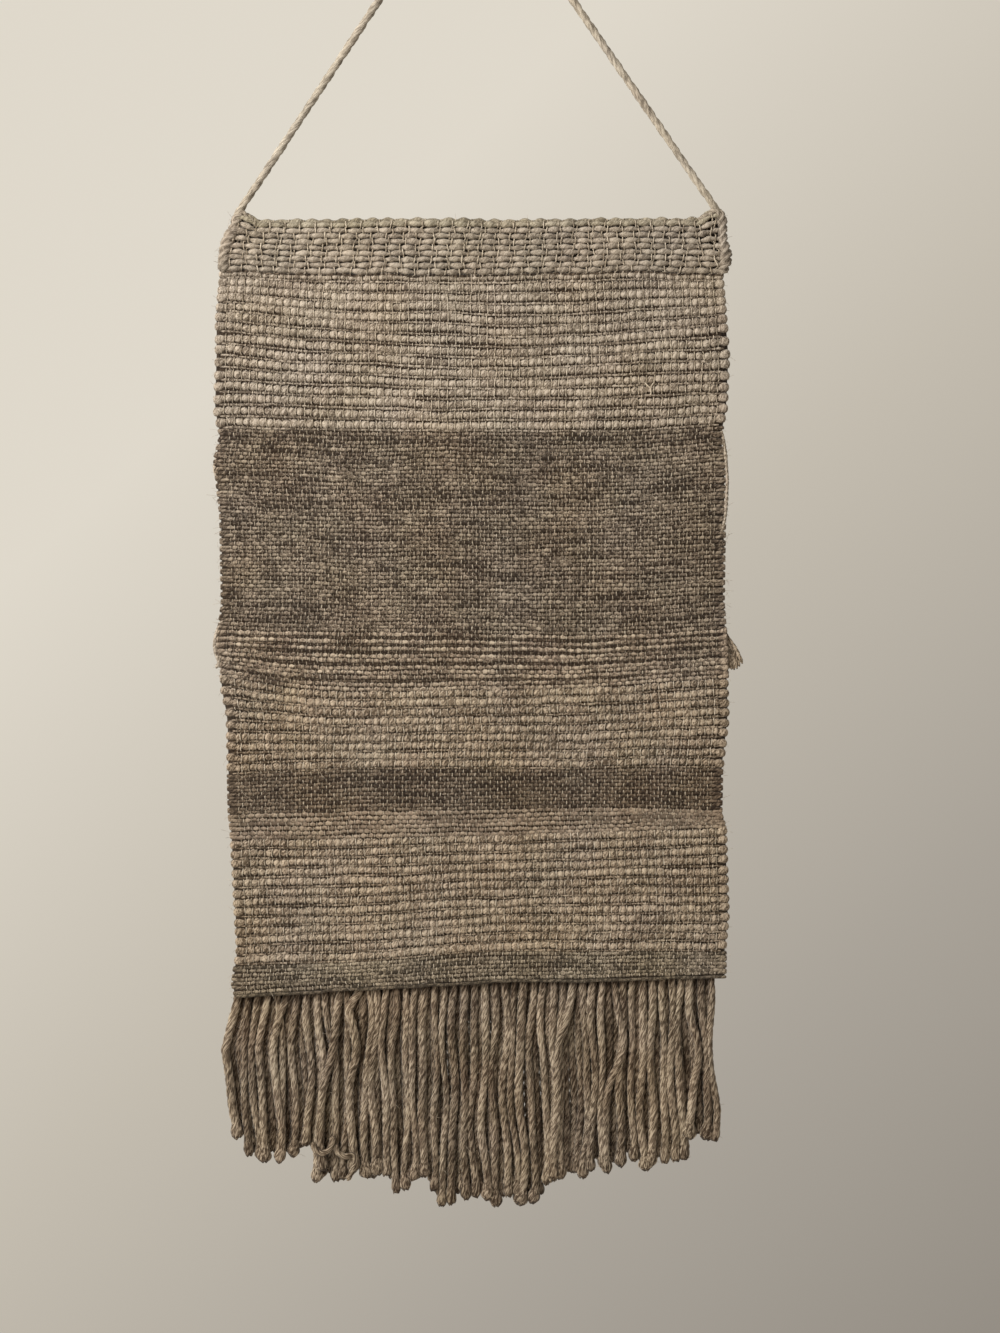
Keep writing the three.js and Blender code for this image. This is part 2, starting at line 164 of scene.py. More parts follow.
def cloth_rows(depth, share, inset):
    """Rows at the depths in the cloth's smooth shape: their edges, lifts, x and z at the shares."""
    lifts = row_lift(depth, share)
    left, right = selvedges(depth, lifts)
    x = lerp(left + inset, right - inset, share)
    z = -depth[:, None] + lifts + corner_pull(x, depth[:, None] - TOP_DEPTH)
    return left, right, lifts, x, z


def xyz(x, y, z):
    return np.stack(np.broadcast_arrays(x, y, z), axis=-1)


# Materials

def srgb(red, green, blue):
    """A colour in 0 to 255 display values, all above 10, as linear RGBA."""
    return (*(((value / 255 + 0.055) / 1.055) ** 2.4 for value in (red, green, blue)), 1.0)


class NodeMaker:
    """Adds nodes to a material or a world, with inputs from numbers or other nodes' outputs."""

    def __init__(self, owner):
        owner.use_nodes = True
        self.nodes = owner.node_tree.nodes
        self.links = owner.node_tree.links

    def set_inputs(self, node, inputs):
        for key, value in inputs.items():
            if isinstance(value, bpy.types.NodeSocket):
                self.links.new(value, node.inputs[key])
            else:
                node.inputs[key].default_value = value

    def add(self, kind, inputs=None, output=0, **settings):
        """Adds a node and gives one of its outputs."""
        node = self.nodes.new("ShaderNode" + kind)
        for key, value in settings.items():
            setattr(node, key, value)
        self.set_inputs(node, inputs or {})
        return node.outputs[output]

    def noise(self, vector, scale, detail, roughness=0.5, curl=0.0):
        return self.add("TexNoise", {"Vector": vector, "Scale": scale, "Detail": detail,
                                     "Roughness": roughness, "Distortion": curl}, "Fac")

    def stretched(self, vector, along):
        return self.add("Mapping", {"Vector": vector, "Scale": (1.0, 1.0, along)})

    def spread(self, value, low, high, to_low, to_high):
        return self.add("MapRange", {"Value": value, "From Min": low, "From Max": high,
                                     "To Min": to_low, "To Max": to_high})

    def added(self, first, second):
        return self.add("Math", {0: first, 1: second}, operation="ADD")

    def ramp(self, value, stops):
        """Colours between stops. The first two stops are the lowest and the highest."""
        ramped = self.add("ValToRGB", {"Fac": value}, "Color")
        elements = ramped.node.color_ramp.elements
        for index, (position, colour) in enumerate(stops):
            element = elements[index] if index < 2 else elements.new(position)
            element.position = position
            element.color = colour
        return ramped


def yarn_material(name, dark, middle, light, fleck_size=1.2, fleck_length=2.4, heather=0.44,
                  fibres=0.50, relief=0.4, curl=0.4):
    """Heathered wool. Fine fibres run along the yarn, with light and dark flecks among them, and
    the hue drifts slowly over the piece. Sizes are millimetres."""
    material = bpy.data.materials.new(name)
    make = NodeMaker(material)
    fibre = make.add("Attribute", output="Vector", attribute_name="fibre")
    shade = make.add("Attribute", output="Fac", attribute_name="shade")
    place = make.add("TexCoord", output="Object")

    fine = make.noise(make.stretched(fibre, along=0.16), scale=1.2, detail=3.0, roughness=0.62)
    fleck = make.noise(make.stretched(fibre, along=fleck_size / fleck_length), scale=1 / fleck_size,
                       detail=0.0, curl=curl)
    level = make.added(shade, make.spread(fine, 0.30, 0.70, -fibres / 2, fibres / 2))
    level = make.added(level, make.spread(fleck, 0.43, 0.57, -heather / 2, heather / 2))
    wool = make.ramp(level, [(0.05, srgb(*dark)), (0.95, srgb(*light)), (0.5, srgb(*middle))])
    drift = make.noise(place, scale=34.0, detail=1.0)
    faded = make.noise(place, scale=21.0, detail=1.0)
    tinted = make.add("HueSaturation", {
        "Color": wool,
        "Hue": make.spread(drift, 0.30, 0.70, 0.496, 0.504),
        "Saturation": make.spread(faded, 0.30, 0.70, 0.90, 1.06),
    })
    bump = make.add("Bump", {"Height": fine, "Strength": relief, "Distance": 0.4 * MM})
    make.set_inputs(make.nodes["Principled BSDF"], {
        "Base Color": tinted, "Normal": bump, "Roughness": 0.92, "Specular IOR Level": 0.15,
        "Sheen Weight": 0.12, "Sheen Roughness": 0.5,
    })
    return material


# The wools: their dark, middle and light colours, and what sets them apart.
THICK = {"fleck_length": 2.0, "heather": 0.66, "curl": 0.8}
WOOLS = {
    "beige_wool": ((107, 95, 82), (166, 152, 135), (199, 186, 169), THICK),
    "warm_beige_wool": ((86, 73, 58), (149, 132, 113), (192, 175, 153), THICK),
    "brown_wool": ((56, 46, 37), (121, 107, 92), (178, 163, 143), {}),
    "dark_brown_wool": ((48, 38, 30), (97, 83, 69), (145, 129, 110), {}),
    "tan_wool": ((77, 65, 54), (152, 135, 117), (201, 185, 163), {}),
    "soft_tan_wool": ((102, 88, 74), (149, 132, 114), (179, 162, 141), {}),
    "olive_wool": ((63, 55, 45), (123, 111, 94), (176, 162, 141), {}),
    "heading_wool": ((114, 103, 91), (163, 151, 135), (191, 179, 163),
                     {"fleck_length": 2.2, "heather": 0.46, "curl": 0.8}),
    "warp_yarn": ((112, 100, 84), (172, 158, 138), (216, 203, 183), {}),
    "fringe_wool": ((60, 47, 35), (130, 114, 96), (196, 180, 157),
                    {"fleck_size": 0.85, "fleck_length": 4.2, "heather": 0.46, "fibres": 0.46,
                     "relief": 0.5, "curl": 0.1}),
    "cord_wool": ((124, 114, 101), (180, 169, 152), (204, 194, 177),
                  {"fleck_length": 4.2, "heather": 0.36, "fibres": 0.44}),
    "fold_wool": ((112, 103, 87), (160, 150, 130), (189, 179, 159), {"heather": 0.46}),
    # A dark wool for the sheet that paints the shade between the yarns.
    "painted_gap_shade": ((32, 25, 18), (54, 43, 33), (74, 61, 48), {}),
}
MATERIALS = {name: yarn_material(name, dark, middle, light, **look)
             for name, (dark, middle, light, look) in WOOLS.items()}


# Meshes

# How far the fibres of a plied yarn turn back from its plies towards its length.
FIBRES_WITH_TWIST = 0.3


def unit(vectors):
    return vectors / np.linalg.norm(vectors, axis=-1, keepdims=True)


def tubes(paths, wide, deep, reference, section, twist=None, lay=12.0, seed=1):
    """Closed tubes, one along each path. wide is the half size along reference, and deep is the
    half size square to it. section scales the corners, and twist turns it along the way. Without a
    twist the fibres wind round the yarn, once in each lay."""
    count, steps = paths.shape[:2]
    sides = len(section)
    tangents = unit(np.gradient(paths, axis=1))
    first = unit(reference - np.sum(tangents * reference, axis=-1, keepdims=True) * tangents)
    second = np.cross(tangents, first)
    corner = np.arange(sides)
    turn = TAU * corner / sides
    turned = 0.0 if twist is None else twist[..., None]
    angle = np.broadcast_to(turn + turned, (count, steps, sides))
    wide = np.broadcast_to(wide, (count, steps))[..., None, None]
    deep = np.broadcast_to(deep, (count, steps))[..., None, None]
    across = first[:, :, None] * (np.cos(angle) * section)[..., None] * wide
    outward = second[:, :, None] * (np.sin(angle) * section)[..., None] * deep
    points = paths[:, :, None] + across + outward

    moved = np.linalg.norm(np.diff(paths, axis=1), axis=-1)
    along = np.pad(np.cumsum(moved, axis=1), ((0, 0), (1, 0)))[..., None]
    offset = np.random.default_rng(seed).uniform(0, 500, (count, 1, 1))
    wound = TAU * along / lay if twist is None else FIBRES_WITH_TWIST * turned
    spin = np.broadcast_to(turn + wound, (count, steps, sides))
    length = np.broadcast_to(along + offset, (count, steps, sides))
    radius = (wide + deep)[..., 0] / 2
    fibre = np.stack([radius * np.cos(spin), radius * np.sin(spin), length], axis=-1)

    first_ring = np.arange(count)[:, None] * steps * sides
    ring = (first_ring + np.arange(steps - 1) * sides)[..., None]
    after = (corner + 1) % sides
    quads = np.stack([ring + corner, ring + after, ring + sides + after, ring + sides + corner], -1)
    caps = np.concatenate([first_ring + corner[::-1], first_ring + (steps - 1) * sides + corner])
    return {"points": points.reshape(-1, 3), "fibre": fibre.reshape(-1, 3),
            "faces": [quads.reshape(-1, 4), caps], "across": np.cos(angle), "outward": np.sin(angle),
            "grooves": (1 - section) / max(1e-6, 1 - section.min())}


def with_shade(bundle, shade, between=0.0, under=0.0, grooves=0.0, shaded_side=0.0):
    """Gives each point of the tubes its shade, from 0, dark, to 1, light. On top of that it paints shade
    where a yarn lies against its neighbours, on its underside, in its grooves, and on the front or the
    back when shaded_side is above or below 0. A negative amount paints light."""
    # All the darkening below is painted shade.
    painted_side_shade = np.clip(np.sign(shaded_side) * bundle["outward"], 0, 1) * abs(shaded_side)
    painted_side_shade = painted_side_shade + under * np.clip(-bundle["across"], 0, 1)
    darker = between * bundle["across"] ** 2 + grooves * bundle["grooves"] + painted_side_shade
    bundle["shade"] = (shade[..., None] - darker).reshape(-1)
    return bundle


def add_object(name, data):
    made = bpy.data.objects.new(name, data)
    bpy.context.scene.collection.objects.link(made)
    return made


def piece(name, bundles, material):
    """One mesh object out of bundles of points and faces."""
    def joined(key):
        return np.concatenate([bundle[key] for bundle in bundles]).astype(np.float32)

    points = np.concatenate([bundle["points"] for bundle in bundles]) * MM
    starts = np.cumsum([0] + [len(bundle["points"]) for bundle in bundles[:-1]])
    faces = [block + start for bundle, start in zip(bundles, starts) for block in bundle["faces"]]
    corners = np.concatenate([block.ravel() for block in faces]).astype(np.int32)
    sizes = np.concatenate([np.full(len(block), block.shape[1]) for block in faces])
    mesh = bpy.data.meshes.new(name)
    mesh.vertices.add(len(points))
    mesh.vertices.foreach_set("co", points.astype(np.float32).ravel())
    mesh.loops.add(len(corners))
    mesh.loops.foreach_set("vertex_index", corners)
    mesh.polygons.add(len(sizes))
    mesh.polygons.foreach_set("loop_start", np.cumsum([0, *sizes[:-1]]).astype(np.int32))
    mesh.polygons.foreach_set("use_smooth", np.full(len(sizes), True))
    mesh.update(calc_edges=True)
    fibre = mesh.attributes.new("fibre", "FLOAT_VECTOR", "POINT")
    fibre.data.foreach_set("vector", joined("fibre").ravel())
    shade = mesh.attributes.new("shade", "FLOAT", "POINT")
    shade.data.foreach_set("value", joined("shade"))
    mesh.materials.append(MATERIALS[material])
    made = add_object(name, mesh)
    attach(made, "root")
    return made


def cloth_piece(name, bundles, material):
    piece(name, bundles, material)


# The camera, level with the middle of the picture and square to the cloth
CAMERA_X, CAMERA_Z = 17.9, -547.9
CAMERA_DISTANCE = 1450.0
VIEW_HEIGHT = 920.0
SENSOR = 36.0
camera = add_object("camera", bpy.data.cameras.new("camera"))
bpy.context.scene.camera = camera
camera.location = (CAMERA_X * MM, -CAMERA_DISTANCE * MM, CAMERA_Z * MM)
camera.rotation_euler = (math.pi / 2, 0, 0)
camera.data.sensor_width = SENSOR
camera.data.lens = SENSOR * CAMERA_DISTANCE / VIEW_HEIGHT
camera.data.clip_end = 20.0


# Plied yarns

BEAD_LENGTH = 7
SMALLEST_TIP = 0.12
PLIED_PATCHINESS = 0.14


def plied_section(plies, groove):
    """The corner sizes of a yarn's section, three to a ply, with a groove between the plies."""
    return np.array([groove, 1.0, 0.97] * plies)


CORD_SECTION = plied_section(3, 0.80)
STRAND_SECTION = plied_section(4, 0.80)
ROLL_SECTION = plied_section(3, 0.62)


def length_along(path):
    return np.concatenate([[0], np.cumsum(np.linalg.norm(np.diff(path, axis=0), axis=1))])


def smooth_route(route, steps):
    """Points evenly along a smooth curve through the route's points."""
    route = np.array(route, float)
    at = length_along(route)
    fine = np.linspace(0, at[-1], steps)
    return np.stack([through(at, route[:, axis], fine) for axis in range(3)], axis=-1)


def plied_yarn(path, half, lay, section, seed, uneven_share=0.0, shade=0.5, growth=((0, 1), (1, 1)),
               groove_shade=0.12):
    """One plied yarn along a path, with rounded ends. growth gives its size at shares of the way, and
    groove_shade is painted shade in the grooves between its plies.
    """
    along = length_along(path)
    share = along / along[-1]
    rounded = np.sqrt(np.clip(np.minimum(along, along[-1] - along) / (0.8 * half), SMALLEST_TIP, 1))
    beads = int(along[-1] / BEAD_LENGTH) + 2
    tone, swell = (field(own_seed, beads, 1, share, 0 * share) for own_seed in (seed, seed + 1))
    stations, sizes = np.array(growth, float).T
    size = half * rounded * (1 + uneven_share * swell) * np.interp(share, stations, sizes)
    bundle = tubes(path[None], size, size, (0, 1, 0), section, (TAU * along / lay)[None], seed=seed)
    return with_shade(bundle, (shade + PLIED_PATCHINESS * tone)[None], grooves=groove_shade)


# The hanging cord, on the CAD model's route. Its ends go on into the corners of the cloth. Over its
# plies it is a little thicker than the tube that stands in for it.
CORD_HALF = 2.75
CORD_LAY = 30.0
CORD_ROUTE = [
    (-160.8, -1.7, -232.6), (-150.3, -1.6, -216.9), (-130, -1.3, -185.9), (-105, -1, -148),
    (-80, -0.8, -110.1), (-55, -0.5, -72.2), (-30, -0.3, -34.3), (-15, -0.1, -11.5),
    (-9.1, 0, -2.5), (-6.6, 0, 0.2), (-3.4, 0, 1.9), (0.3, 0, 2.5), (3.9, 0, 1.9),
    (7.2, 0, 0.1), (9.5, 0, -2.4), (15.7, -0.1, -11.5), (31.3, -0.3, -34.3),
    (57.1, -0.5, -72.2), (83, -0.8, -110.1), (108.9, -1, -148), (134.8, -1.3, -185.9),
    (155.9, -1.6, -216.9), (165.6, -1.7, -231.1),
]
LEFT_TUCK, RIGHT_TUCK = (-164.9, -0.7, -239.4), (169.4, -0.7, -238.6)

cord_path = smooth_route([LEFT_TUCK, *CORD_ROUTE, RIGHT_TUCK], 420)
cord_yarn = plied_yarn(cord_path, CORD_HALF, CORD_LAY, CORD_SECTION, 11, 0.07)
hanging_cord = piece("plied_hanging_cord", [cord_yarn], "cord_wool")
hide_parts("hanging_cord")


# The weave. A row is one fine pick, or a thick pick and a thin one, or a heading pick that floats
# over three warps out of four.

WARPS = 125
WARP_MARGIN = 7.0
WARP_HALF_WIDTH, WARP_HALF_DEPTH = 0.58, 0.42

# What each kind of pick is like. Those with beads have stations between the warps as well.
KINDS = ("thick", "thin", "fine", "groove", "heading", "fold", "rolled")
BEADED_KINDS = ("thick", "heading", "fold")
KIND_TABLE = {
    "half_height": (2.34, 0.90, 1.50, 0.80, 1.64, 1.90, 1.30),
    "half_depth": (1.62, 0.76, 0.82, 0.45, 1.50, 1.60, 1.20),
    # How far it bends round the warps, and how much it swells where it shows.
    "sway": (0.45, 0.30, 0.44, 0.20, 0.45, 0.30, 0),
    "squeeze": (0.22, 0.05, 0.12, 0, 0.34, 0.26, 0),
    # How uneven its thickness is, over a few warps and from each warp to the next.
    "slub": (0.18, 0.35, 0.22, 0.45, 0.20, 0.20, 0.14),
    "pebble": (0.08, 0.18, 0.15, 0.12, 0.10, 0.06, 0.04),
    # The warp's bars on it: half length as a share of the pitch, lift, width, shade and tilt. The bar
    # shade is painted light and shade on the one warp yarn: lighter where the bars stand proud, darkest
    # where they sink in the grooves.
    "bar_hold": (0.42, 0.25, 0.28, 0.25, 0.50, 0.40, 0.29),
    "bar_lift": (0.45, 0.20, 0.02, -0.25, 0.75, 0.10, 0),
    "bar_width": (0.90, 0.90, 0.85, 0.80, 0.84, 1.00, 0.90),
    "bar_shade": (0.56, 0.40, 0.40, 0.10, 0.50, 0.36, 0.40),
    "tilt": (0.36, 0.10, 0.16, 0.10, 0.60, 0.30, 0),
    # Its tone, how patchy it is, and how much painted shade it gets against the next row, on its
    # underside and in the creases beside the warps, and how much darker it is in its dark runs. The
    # groove's low tone is painted shade in the gap between rows.
    "tone": (0.12, -0.17, 0.06, -0.24, 0.13, -0.06, -0.22),
    "marl": (1, 1, 0.6, 1, 1, 1, 0.8),
    "between": (0.04, 0, 0.06, 0, 0.02, 0.10, 0.08),
    "under": (0.07, 0, 0.12, 0, 0.12, 0.10, 0.16),
    "crease": (0.18, 0, 0.14, 0, 0.14, 0.20, 0),
    "run": (0.10, 0.30, 0.34, 0.20, 0.16, 0.10, 0.10),
}
HIDDEN_HOLD = 0.25

# How a pick ends at the selvedge: its distance from the edge, its size against the pick's own, and
# how far it has gone towards the pick that it turns into.
TURNS = {
    "thick": [(7.4, 0.80, 0), (6, 1.18, 0.2), (4.4, 1.44, 0.45), (2.7, 1.48, 0.55),
              (1.2, 1.15, 0.58), (0.4, 0.50, 0.60)],
    "thin": [(6.3, 0.95, 0), (5.6, 0.90, 0), (5.2, 0.80, 0), (4.9, 0.70, 0), (4.6, 0.55, 0),
             (4.4, 0.30, 0)],
    "fine": [(6.3, 1, 0), (4.9, 1.1, 0.1), (3.4, 1.2, 0.25), (2, 1.25, 0.4),
             (1, 1.10, 0.5), (0.4, 0.65, 0.5)],
    "paired": [(6.3, 1, 0), (4.9, 1.2, 0.2), (3.4, 1.55, 0.5), (2, 1.90, 0.75),
               (1, 1.80, 0.9), (0.4, 1.10, 1)],
    "groove": [(6.3, 1, 0), (4.9, 1.2, 0.2), (3.4, 1.6, 0.5), (2.4, 1.6, 0.75),
               (1.7, 1.2, 0.9), (1.2, 0.7, 1)],
    "heading": [(6.3, 1, 0), (5.4, 1.05, 0.04), (4.6, 1.05, 0.08), (3.9, 1, 0.12),
                (3.4, 0.85, 0.16), (3, 0.50, 0.20)],
    "fold": [(6.3, 1, 0), (5.4, 0.95, 0), (4.6, 0.90, 0), (3.9, 0.80, 0), (3.4, 0.60, 0),
             (3, 0.30, 0)],
    "rolled": [(6.3, 1, 0), (5, 1, 0), (3.5, 1, 0), (2.2, 0.95, 0), (1.2, 0.80, 0),
               (0.6, 0.45, 0)],
}
# The turns at the selvedges take a tone pulled towards TURN_TONE, a little dark: painted shade where the
# yarn turns away.
TURN_TONE, TURN_TONE_SHARE = 0.40, 0.6
SAME_LAYER_REACH = 8

# The heading: the cloth's top turned over to the front.
HEADING_LIP = 277.6
HEADING_ROWS = 9
HEADING_PITCH = (HEADING_LIP - TOP_DEPTH) / (HEADING_ROWS + 0.4)
HEADING_PLANE = -3.1
HEADING_LIP_PLANES = {8: -2.1, 7: -2.7}
# The heading's top row is painted darker: shade where the cloth curves back over the top.
HEADING_TOP_TONE = -0.10
FOLD_BELOW_TOP = 1.6
# The heading's own end is pushed in under its lip and shows there as a dark line: dark wool that paints
# the shadow under the lip. The painted line is fainter at the left.
SEAM_DEPTH = 278.2
SEAM_PLANE = -1.8
# The first pick below the seam gets painted light, against the shadow that the lip casts on it.
UNDER_SEAM_PAINTED_LIGHT = 0.10
SEAM_FADE, SEAM_FADE_FROM, SEAM_FADE_REACH = 0.30, -125.0, 15.0

# The bands, each from its top down to the next one's top.
BANDS = [
    {"name": "upper_thick", "top": 276.6, "rows": 15, "wool": "beige_wool", "thick": True},
    {"name": "wide_dark", "top": 386.1, "rows": 52, "wool": "brown_wool", "dark_rows": (0, 1, 2, 3, 5)},
    {"name": "lined", "top": 525.5, "rows": 15, "wool": "tan_wool", "grooves": (1, 3, 5, 8, 12),
     "pale_rows": (0, 2, 4, 6), "dark_rows": (13,), "turn": "paired"},
    {"name": "second_thick", "top": 564.4, "rows": 9, "wool": "warm_beige_wool", "thick": True,
     "tone": -0.05},
    {"name": "narrow_dark", "top": 618.6, "rows": 11, "wool": "dark_brown_wool"},
    {"name": "fine_light", "top": 646.9, "rows": 6, "wool": "soft_tan_wool"},
    {"name": "third_thick", "top": 665.5, "rows": 13, "wool": "warm_beige_wool", "thick": True,
     "tone": -0.05},
    {"name": "hem", "top": 745.2, "rows": 8, "wool": "olive_wool", "last": "rolled", "bar_shade": 0.48},
]
THICK_SHARE_OF_ROW = 0.73
GROOVE_SHARE = 0.6
PALE_ROW_TONE, DARK_ROW_TONE = 0.04, -0.12
# In the middle of the upper band the picks lie flatter, and the warp shows more on them. There the thin
# picks and the warp's bars are painted lighter, with less painted shade.
CALM = {"band": "upper_thick", "middle": 0.46, "reach": 0.17, "share": 0.65, "thin_tone": 0.18,
        "bar_shade": 0.16}

# How uneven the rows and the wool are. Each is a random surface: its seed, its cells across, and its
# cells down or else a row of cells for each pick.
SURFACES = {
    "bow": (3, 7, 16), "ripple": (9, 20, 70), "own_wander": (4, 9), "fine_wander": (8, 62),
    "warp_wander": (6, WARPS, 26), "slub": (5, 58), "patch": (21, 14, 60), "streak": (22, 60),
    "dark_run": (23, 12),
}
RIPPLE, FINE_WANDER, WARP_WANDER = 0.34, 0.50, 0.28
OWN_WANDER_SHARE_OF_PITCH = 0.13
FULL_WANDER_PITCH = 4
SEAM_WAVE = {"seed": 12, "across": 26, "height": 0.7, "reach": 7.0}
PATCH_TONE, STREAK_TONE, PICK_TONE, WARP_TONE = 0.14, 0.14, 0.08, 0.14
DARK_RUN_ABOVE, DARK_RUN_REACH = 0.36, 0.36
PEBBLE_SEED, BAR_SEED = 14, 13
BAR_SHIFT_SHARE = 1.5
# Below the lip the rows settle into their bows.
SETTLE_REACH, LEAST_SETTLED = 12, 0.40

# Places where two rows stand apart: x, depth, half length and how wide the gap opens.
GAPS = [
    (85, 574.5, 3.5, 1.4), (-71, 575, 3, 1.1), (-139, 368, 3, 1.1),
    (121, 362, 3.5, 1), (-133, 680, 5, 1.5), (77, 674.5, 6, 1.2),
    (122, 675, 4, 0.9), (-89, 463.5, 4, 0.8), (53, 469, 4, 0.9),
]
GAP_HALF_HEIGHT = 5

# The picks of the cloth, from the heading's lip up over the fold and down to the hem. Each has its
# place on the middle line, its plane, the direction (y, z) that its outward side faces, and its kind.
FRONT, UP, BACK = (-1.0, 0.0), (0.0, 1.0), (1.0, 0.0)
picks = []


def add_pick(band, kind, wool, depth, pitch, plane=0.0, facing=BACK, tone=0.0, **changes):
    pick = {key: values[KINDS.index(kind)] for key, values in KIND_TABLE.items()}
    pick.update(band=band, kind=kind, wool=wool, depth=depth, pitch=pitch, plane=plane,
                facing=facing, turn=kind)
    pick.update(changes)
    pick["tone"] += tone
    picks.append(pick)


def heading_depth(row):
    return TOP_DEPTH + (row + 0.9) * HEADING_PITCH


def add_heading():
    """The seam, the turned-over layer from its lip up, the fold, and the layer behind it."""
    # The seam: a sunk pick of dark wool that paints the shadow line under the lip.
    add_pick("dark_lines", "groove", "dark_brown_wool", SEAM_DEPTH, HEADING_PITCH / 2, SEAM_PLANE, FRONT)
    for row in range(HEADING_ROWS - 1, 0, -1):
        add_pick("heading", "heading", "heading_wool", heading_depth(row), HEADING_PITCH,
                 HEADING_LIP_PLANES.get(row, HEADING_PLANE), FRONT)
    add_pick("fold", "heading", "fold_wool", heading_depth(0), HEADING_PITCH, HEADING_PLANE, FRONT,
             HEADING_TOP_TONE)
    add_pick("fold", "fold", "fold_wool", TOP_DEPTH + FOLD_BELOW_TOP, HEADING_PITCH,
             HEADING_PLANE / 2, UP)
    for row in range(HEADING_ROWS):
        add_pick("behind_heading", "heading", "heading_wool", heading_depth(row), HEADING_PITCH)


def add_band(band, bottom):
    name, wool, grooves = band["name"], band["wool"], band.get("grooves", ())
    changes = {key: band[key] for key in ("turn", "bar_shade") if key in band}
    row_shares = np.array([GROOVE_SHARE if row in grooves else 1.0 for row in range(band["rows"])])
    heights = (bottom - band["top"]) * row_shares / row_shares.sum()
    tops = band["top"] + np.cumsum(heights) - heights
    for row, (top, height) in enumerate(zip(tops, heights)):
        middle = top + 0.5 * height
        if "thick" in band:
            share = THICK_SHARE_OF_ROW
            add_pick(name, "thick", wool, top + share / 2 * height, share * height,
                     tone=band.get("tone", 0.0))
            add_pick(name, "thin", wool, top + (1 + share) / 2 * height, (1 - share) * height)
        elif row in grooves:
            # A groove row is a thin sunk pick of dark wool: painted shade in the gap between rows.
            add_pick("dark_lines", "groove", "dark_brown_wool", middle, height)
        else:
            kind = band.get("last", "fine") if row == band["rows"] - 1 else "fine"
            tone = PALE_ROW_TONE * (row in band.get("pale_rows", ()))
            tone += DARK_ROW_TONE * (row in band.get("dark_rows", ()))
            add_pick(name, kind, wool, middle, height, tone=tone, **changes)


add_heading()
under_seam = len(picks)
for band, bottom in zip(BANDS, [*(band["top"] for band in BANDS[1:]), HEM_DEPTH]):
    add_band(band, bottom)
# Painted light on the first pick under the seam.
picks[under_seam]["tone"] += UNDER_SEAM_PAINTED_LIGHT
pick_count = len(picks)


def column(key):
    return np.array([pick[key] for pick in picks])


def each(key):
    """The picks' values, one row for each pick."""
    return column(key)[:, None]


LARGEST_SHARE_OF_PITCH = 0.485
depths = column("depth")
half_heights = np.minimum(column("half_height"), LARGEST_SHARE_OF_PITCH * column("pitch"))
half_depths = column("half_depth")
outward_y, outward_z = column("facing").T[..., None]
in_heading = np.isin(each("kind"), ("heading", "fold"))

# Stations across the cloth: each warp, and a place between it and the next.
stations = np.arange(2 * WARPS - 1)
shares = (stations / 2 + 0.5) / WARPS
at_warp = stations % 2 == 0

# Which yarn lies outward at each crossing: 1 for the weft, -1 for the warp. A pick of the heading
# is outward only a little beside a bar of warp.
BESIDE_BAR = 0.2
warp_index, pick_index = np.arange(WARPS), np.arange(pick_count)[:, None]
plain = np.where((warp_index + pick_index) % 2 == 0, 1.0, -1.0)
from_bar = (warp_index + pick_index % 2) % 4
floats = np.where(from_bar == 0, -1.0, np.where(from_bar == 2, 1.0, BESIDE_BAR))
weft_side = np.where(in_heading, floats, plain)
weft_side = np.where(each("kind") == "rolled", -1.0, weft_side)

# A weft swells where it shows: outward in the heading, and on the front below it. Between two warps
# its swell lies this share of the way from their mean to the larger one.
SWELL_BETWEEN = 0.35
shown_side = np.where(in_heading, 1.0, -1.0)
swell_at_warp = weft_side * shown_side
before, after = swell_at_warp[:, :-1], swell_at_warp[:, 1:]
swell = np.zeros((pick_count, len(shares)))
swell[:, at_warp] = swell_at_warp
swell[:, ~at_warp] = lerp((before + after) / 2, np.maximum(before, after), SWELL_BETWEEN)

# Where the picks lie.
left_edges, right_edges, lifts, weft_x, smooth_z = cloth_rows(depths, shares, WARP_MARGIN)
across = np.broadcast_to(shares, weft_x.shape)
down = np.broadcast_to((each("depth") - TOP_DEPTH) / (HEM_DEPTH - TOP_DEPTH), weft_x.shape)
pick_share = np.broadcast_to(pick_index / pick_count, weft_x.shape)


def surface(name):
    """A random surface at each station of each pick."""
    seed, cells_across, *cells_down = SURFACES[name]
    if cells_down:
        return field(seed, cells_across, *cells_down, across, down)
    return field(seed, cells_across, pick_count, across, pick_share)


below_lip = each("depth") - HEADING_LIP
wander = np.clip(below_lip / SETTLE_REACH, LEAST_SETTLED, 1) * (
    surface("bow") + RIPPLE * surface("ripple")
    + OWN_WANDER_SHARE_OF_PITCH * each("pitch") * surface("own_wander"))
fine_share = np.minimum(1, each("pitch") / FULL_WANDER_PITCH)
wander += FINE_WANDER * fine_share * surface("fine_wander")
seam_wave = field(SEAM_WAVE["seed"], SEAM_WAVE["across"], 1, across, 0 * across)
wander += SEAM_WAVE["height"] * np.exp(-(below_lip / SEAM_WAVE["reach"]) ** 2) * seam_wave
for gap_x, gap_depth, reach, opening in GAPS:
    above = gap_depth - (each("depth") - lifts)
    nearness = np.exp(-((weft_x - gap_x) / reach) ** 2 - (above / GAP_HALF_HEIGHT) ** 2)
    wander += opening / 2 * nearness * np.sign(above)
weft_z = smooth_z + wander
base_y = cloth_wave(weft_x, -weft_z) + each("plane")
offset = each("sway") * (swell * shown_side)
centres = xyz(weft_x, base_y + outward_y * offset, weft_z + outward_z * offset)

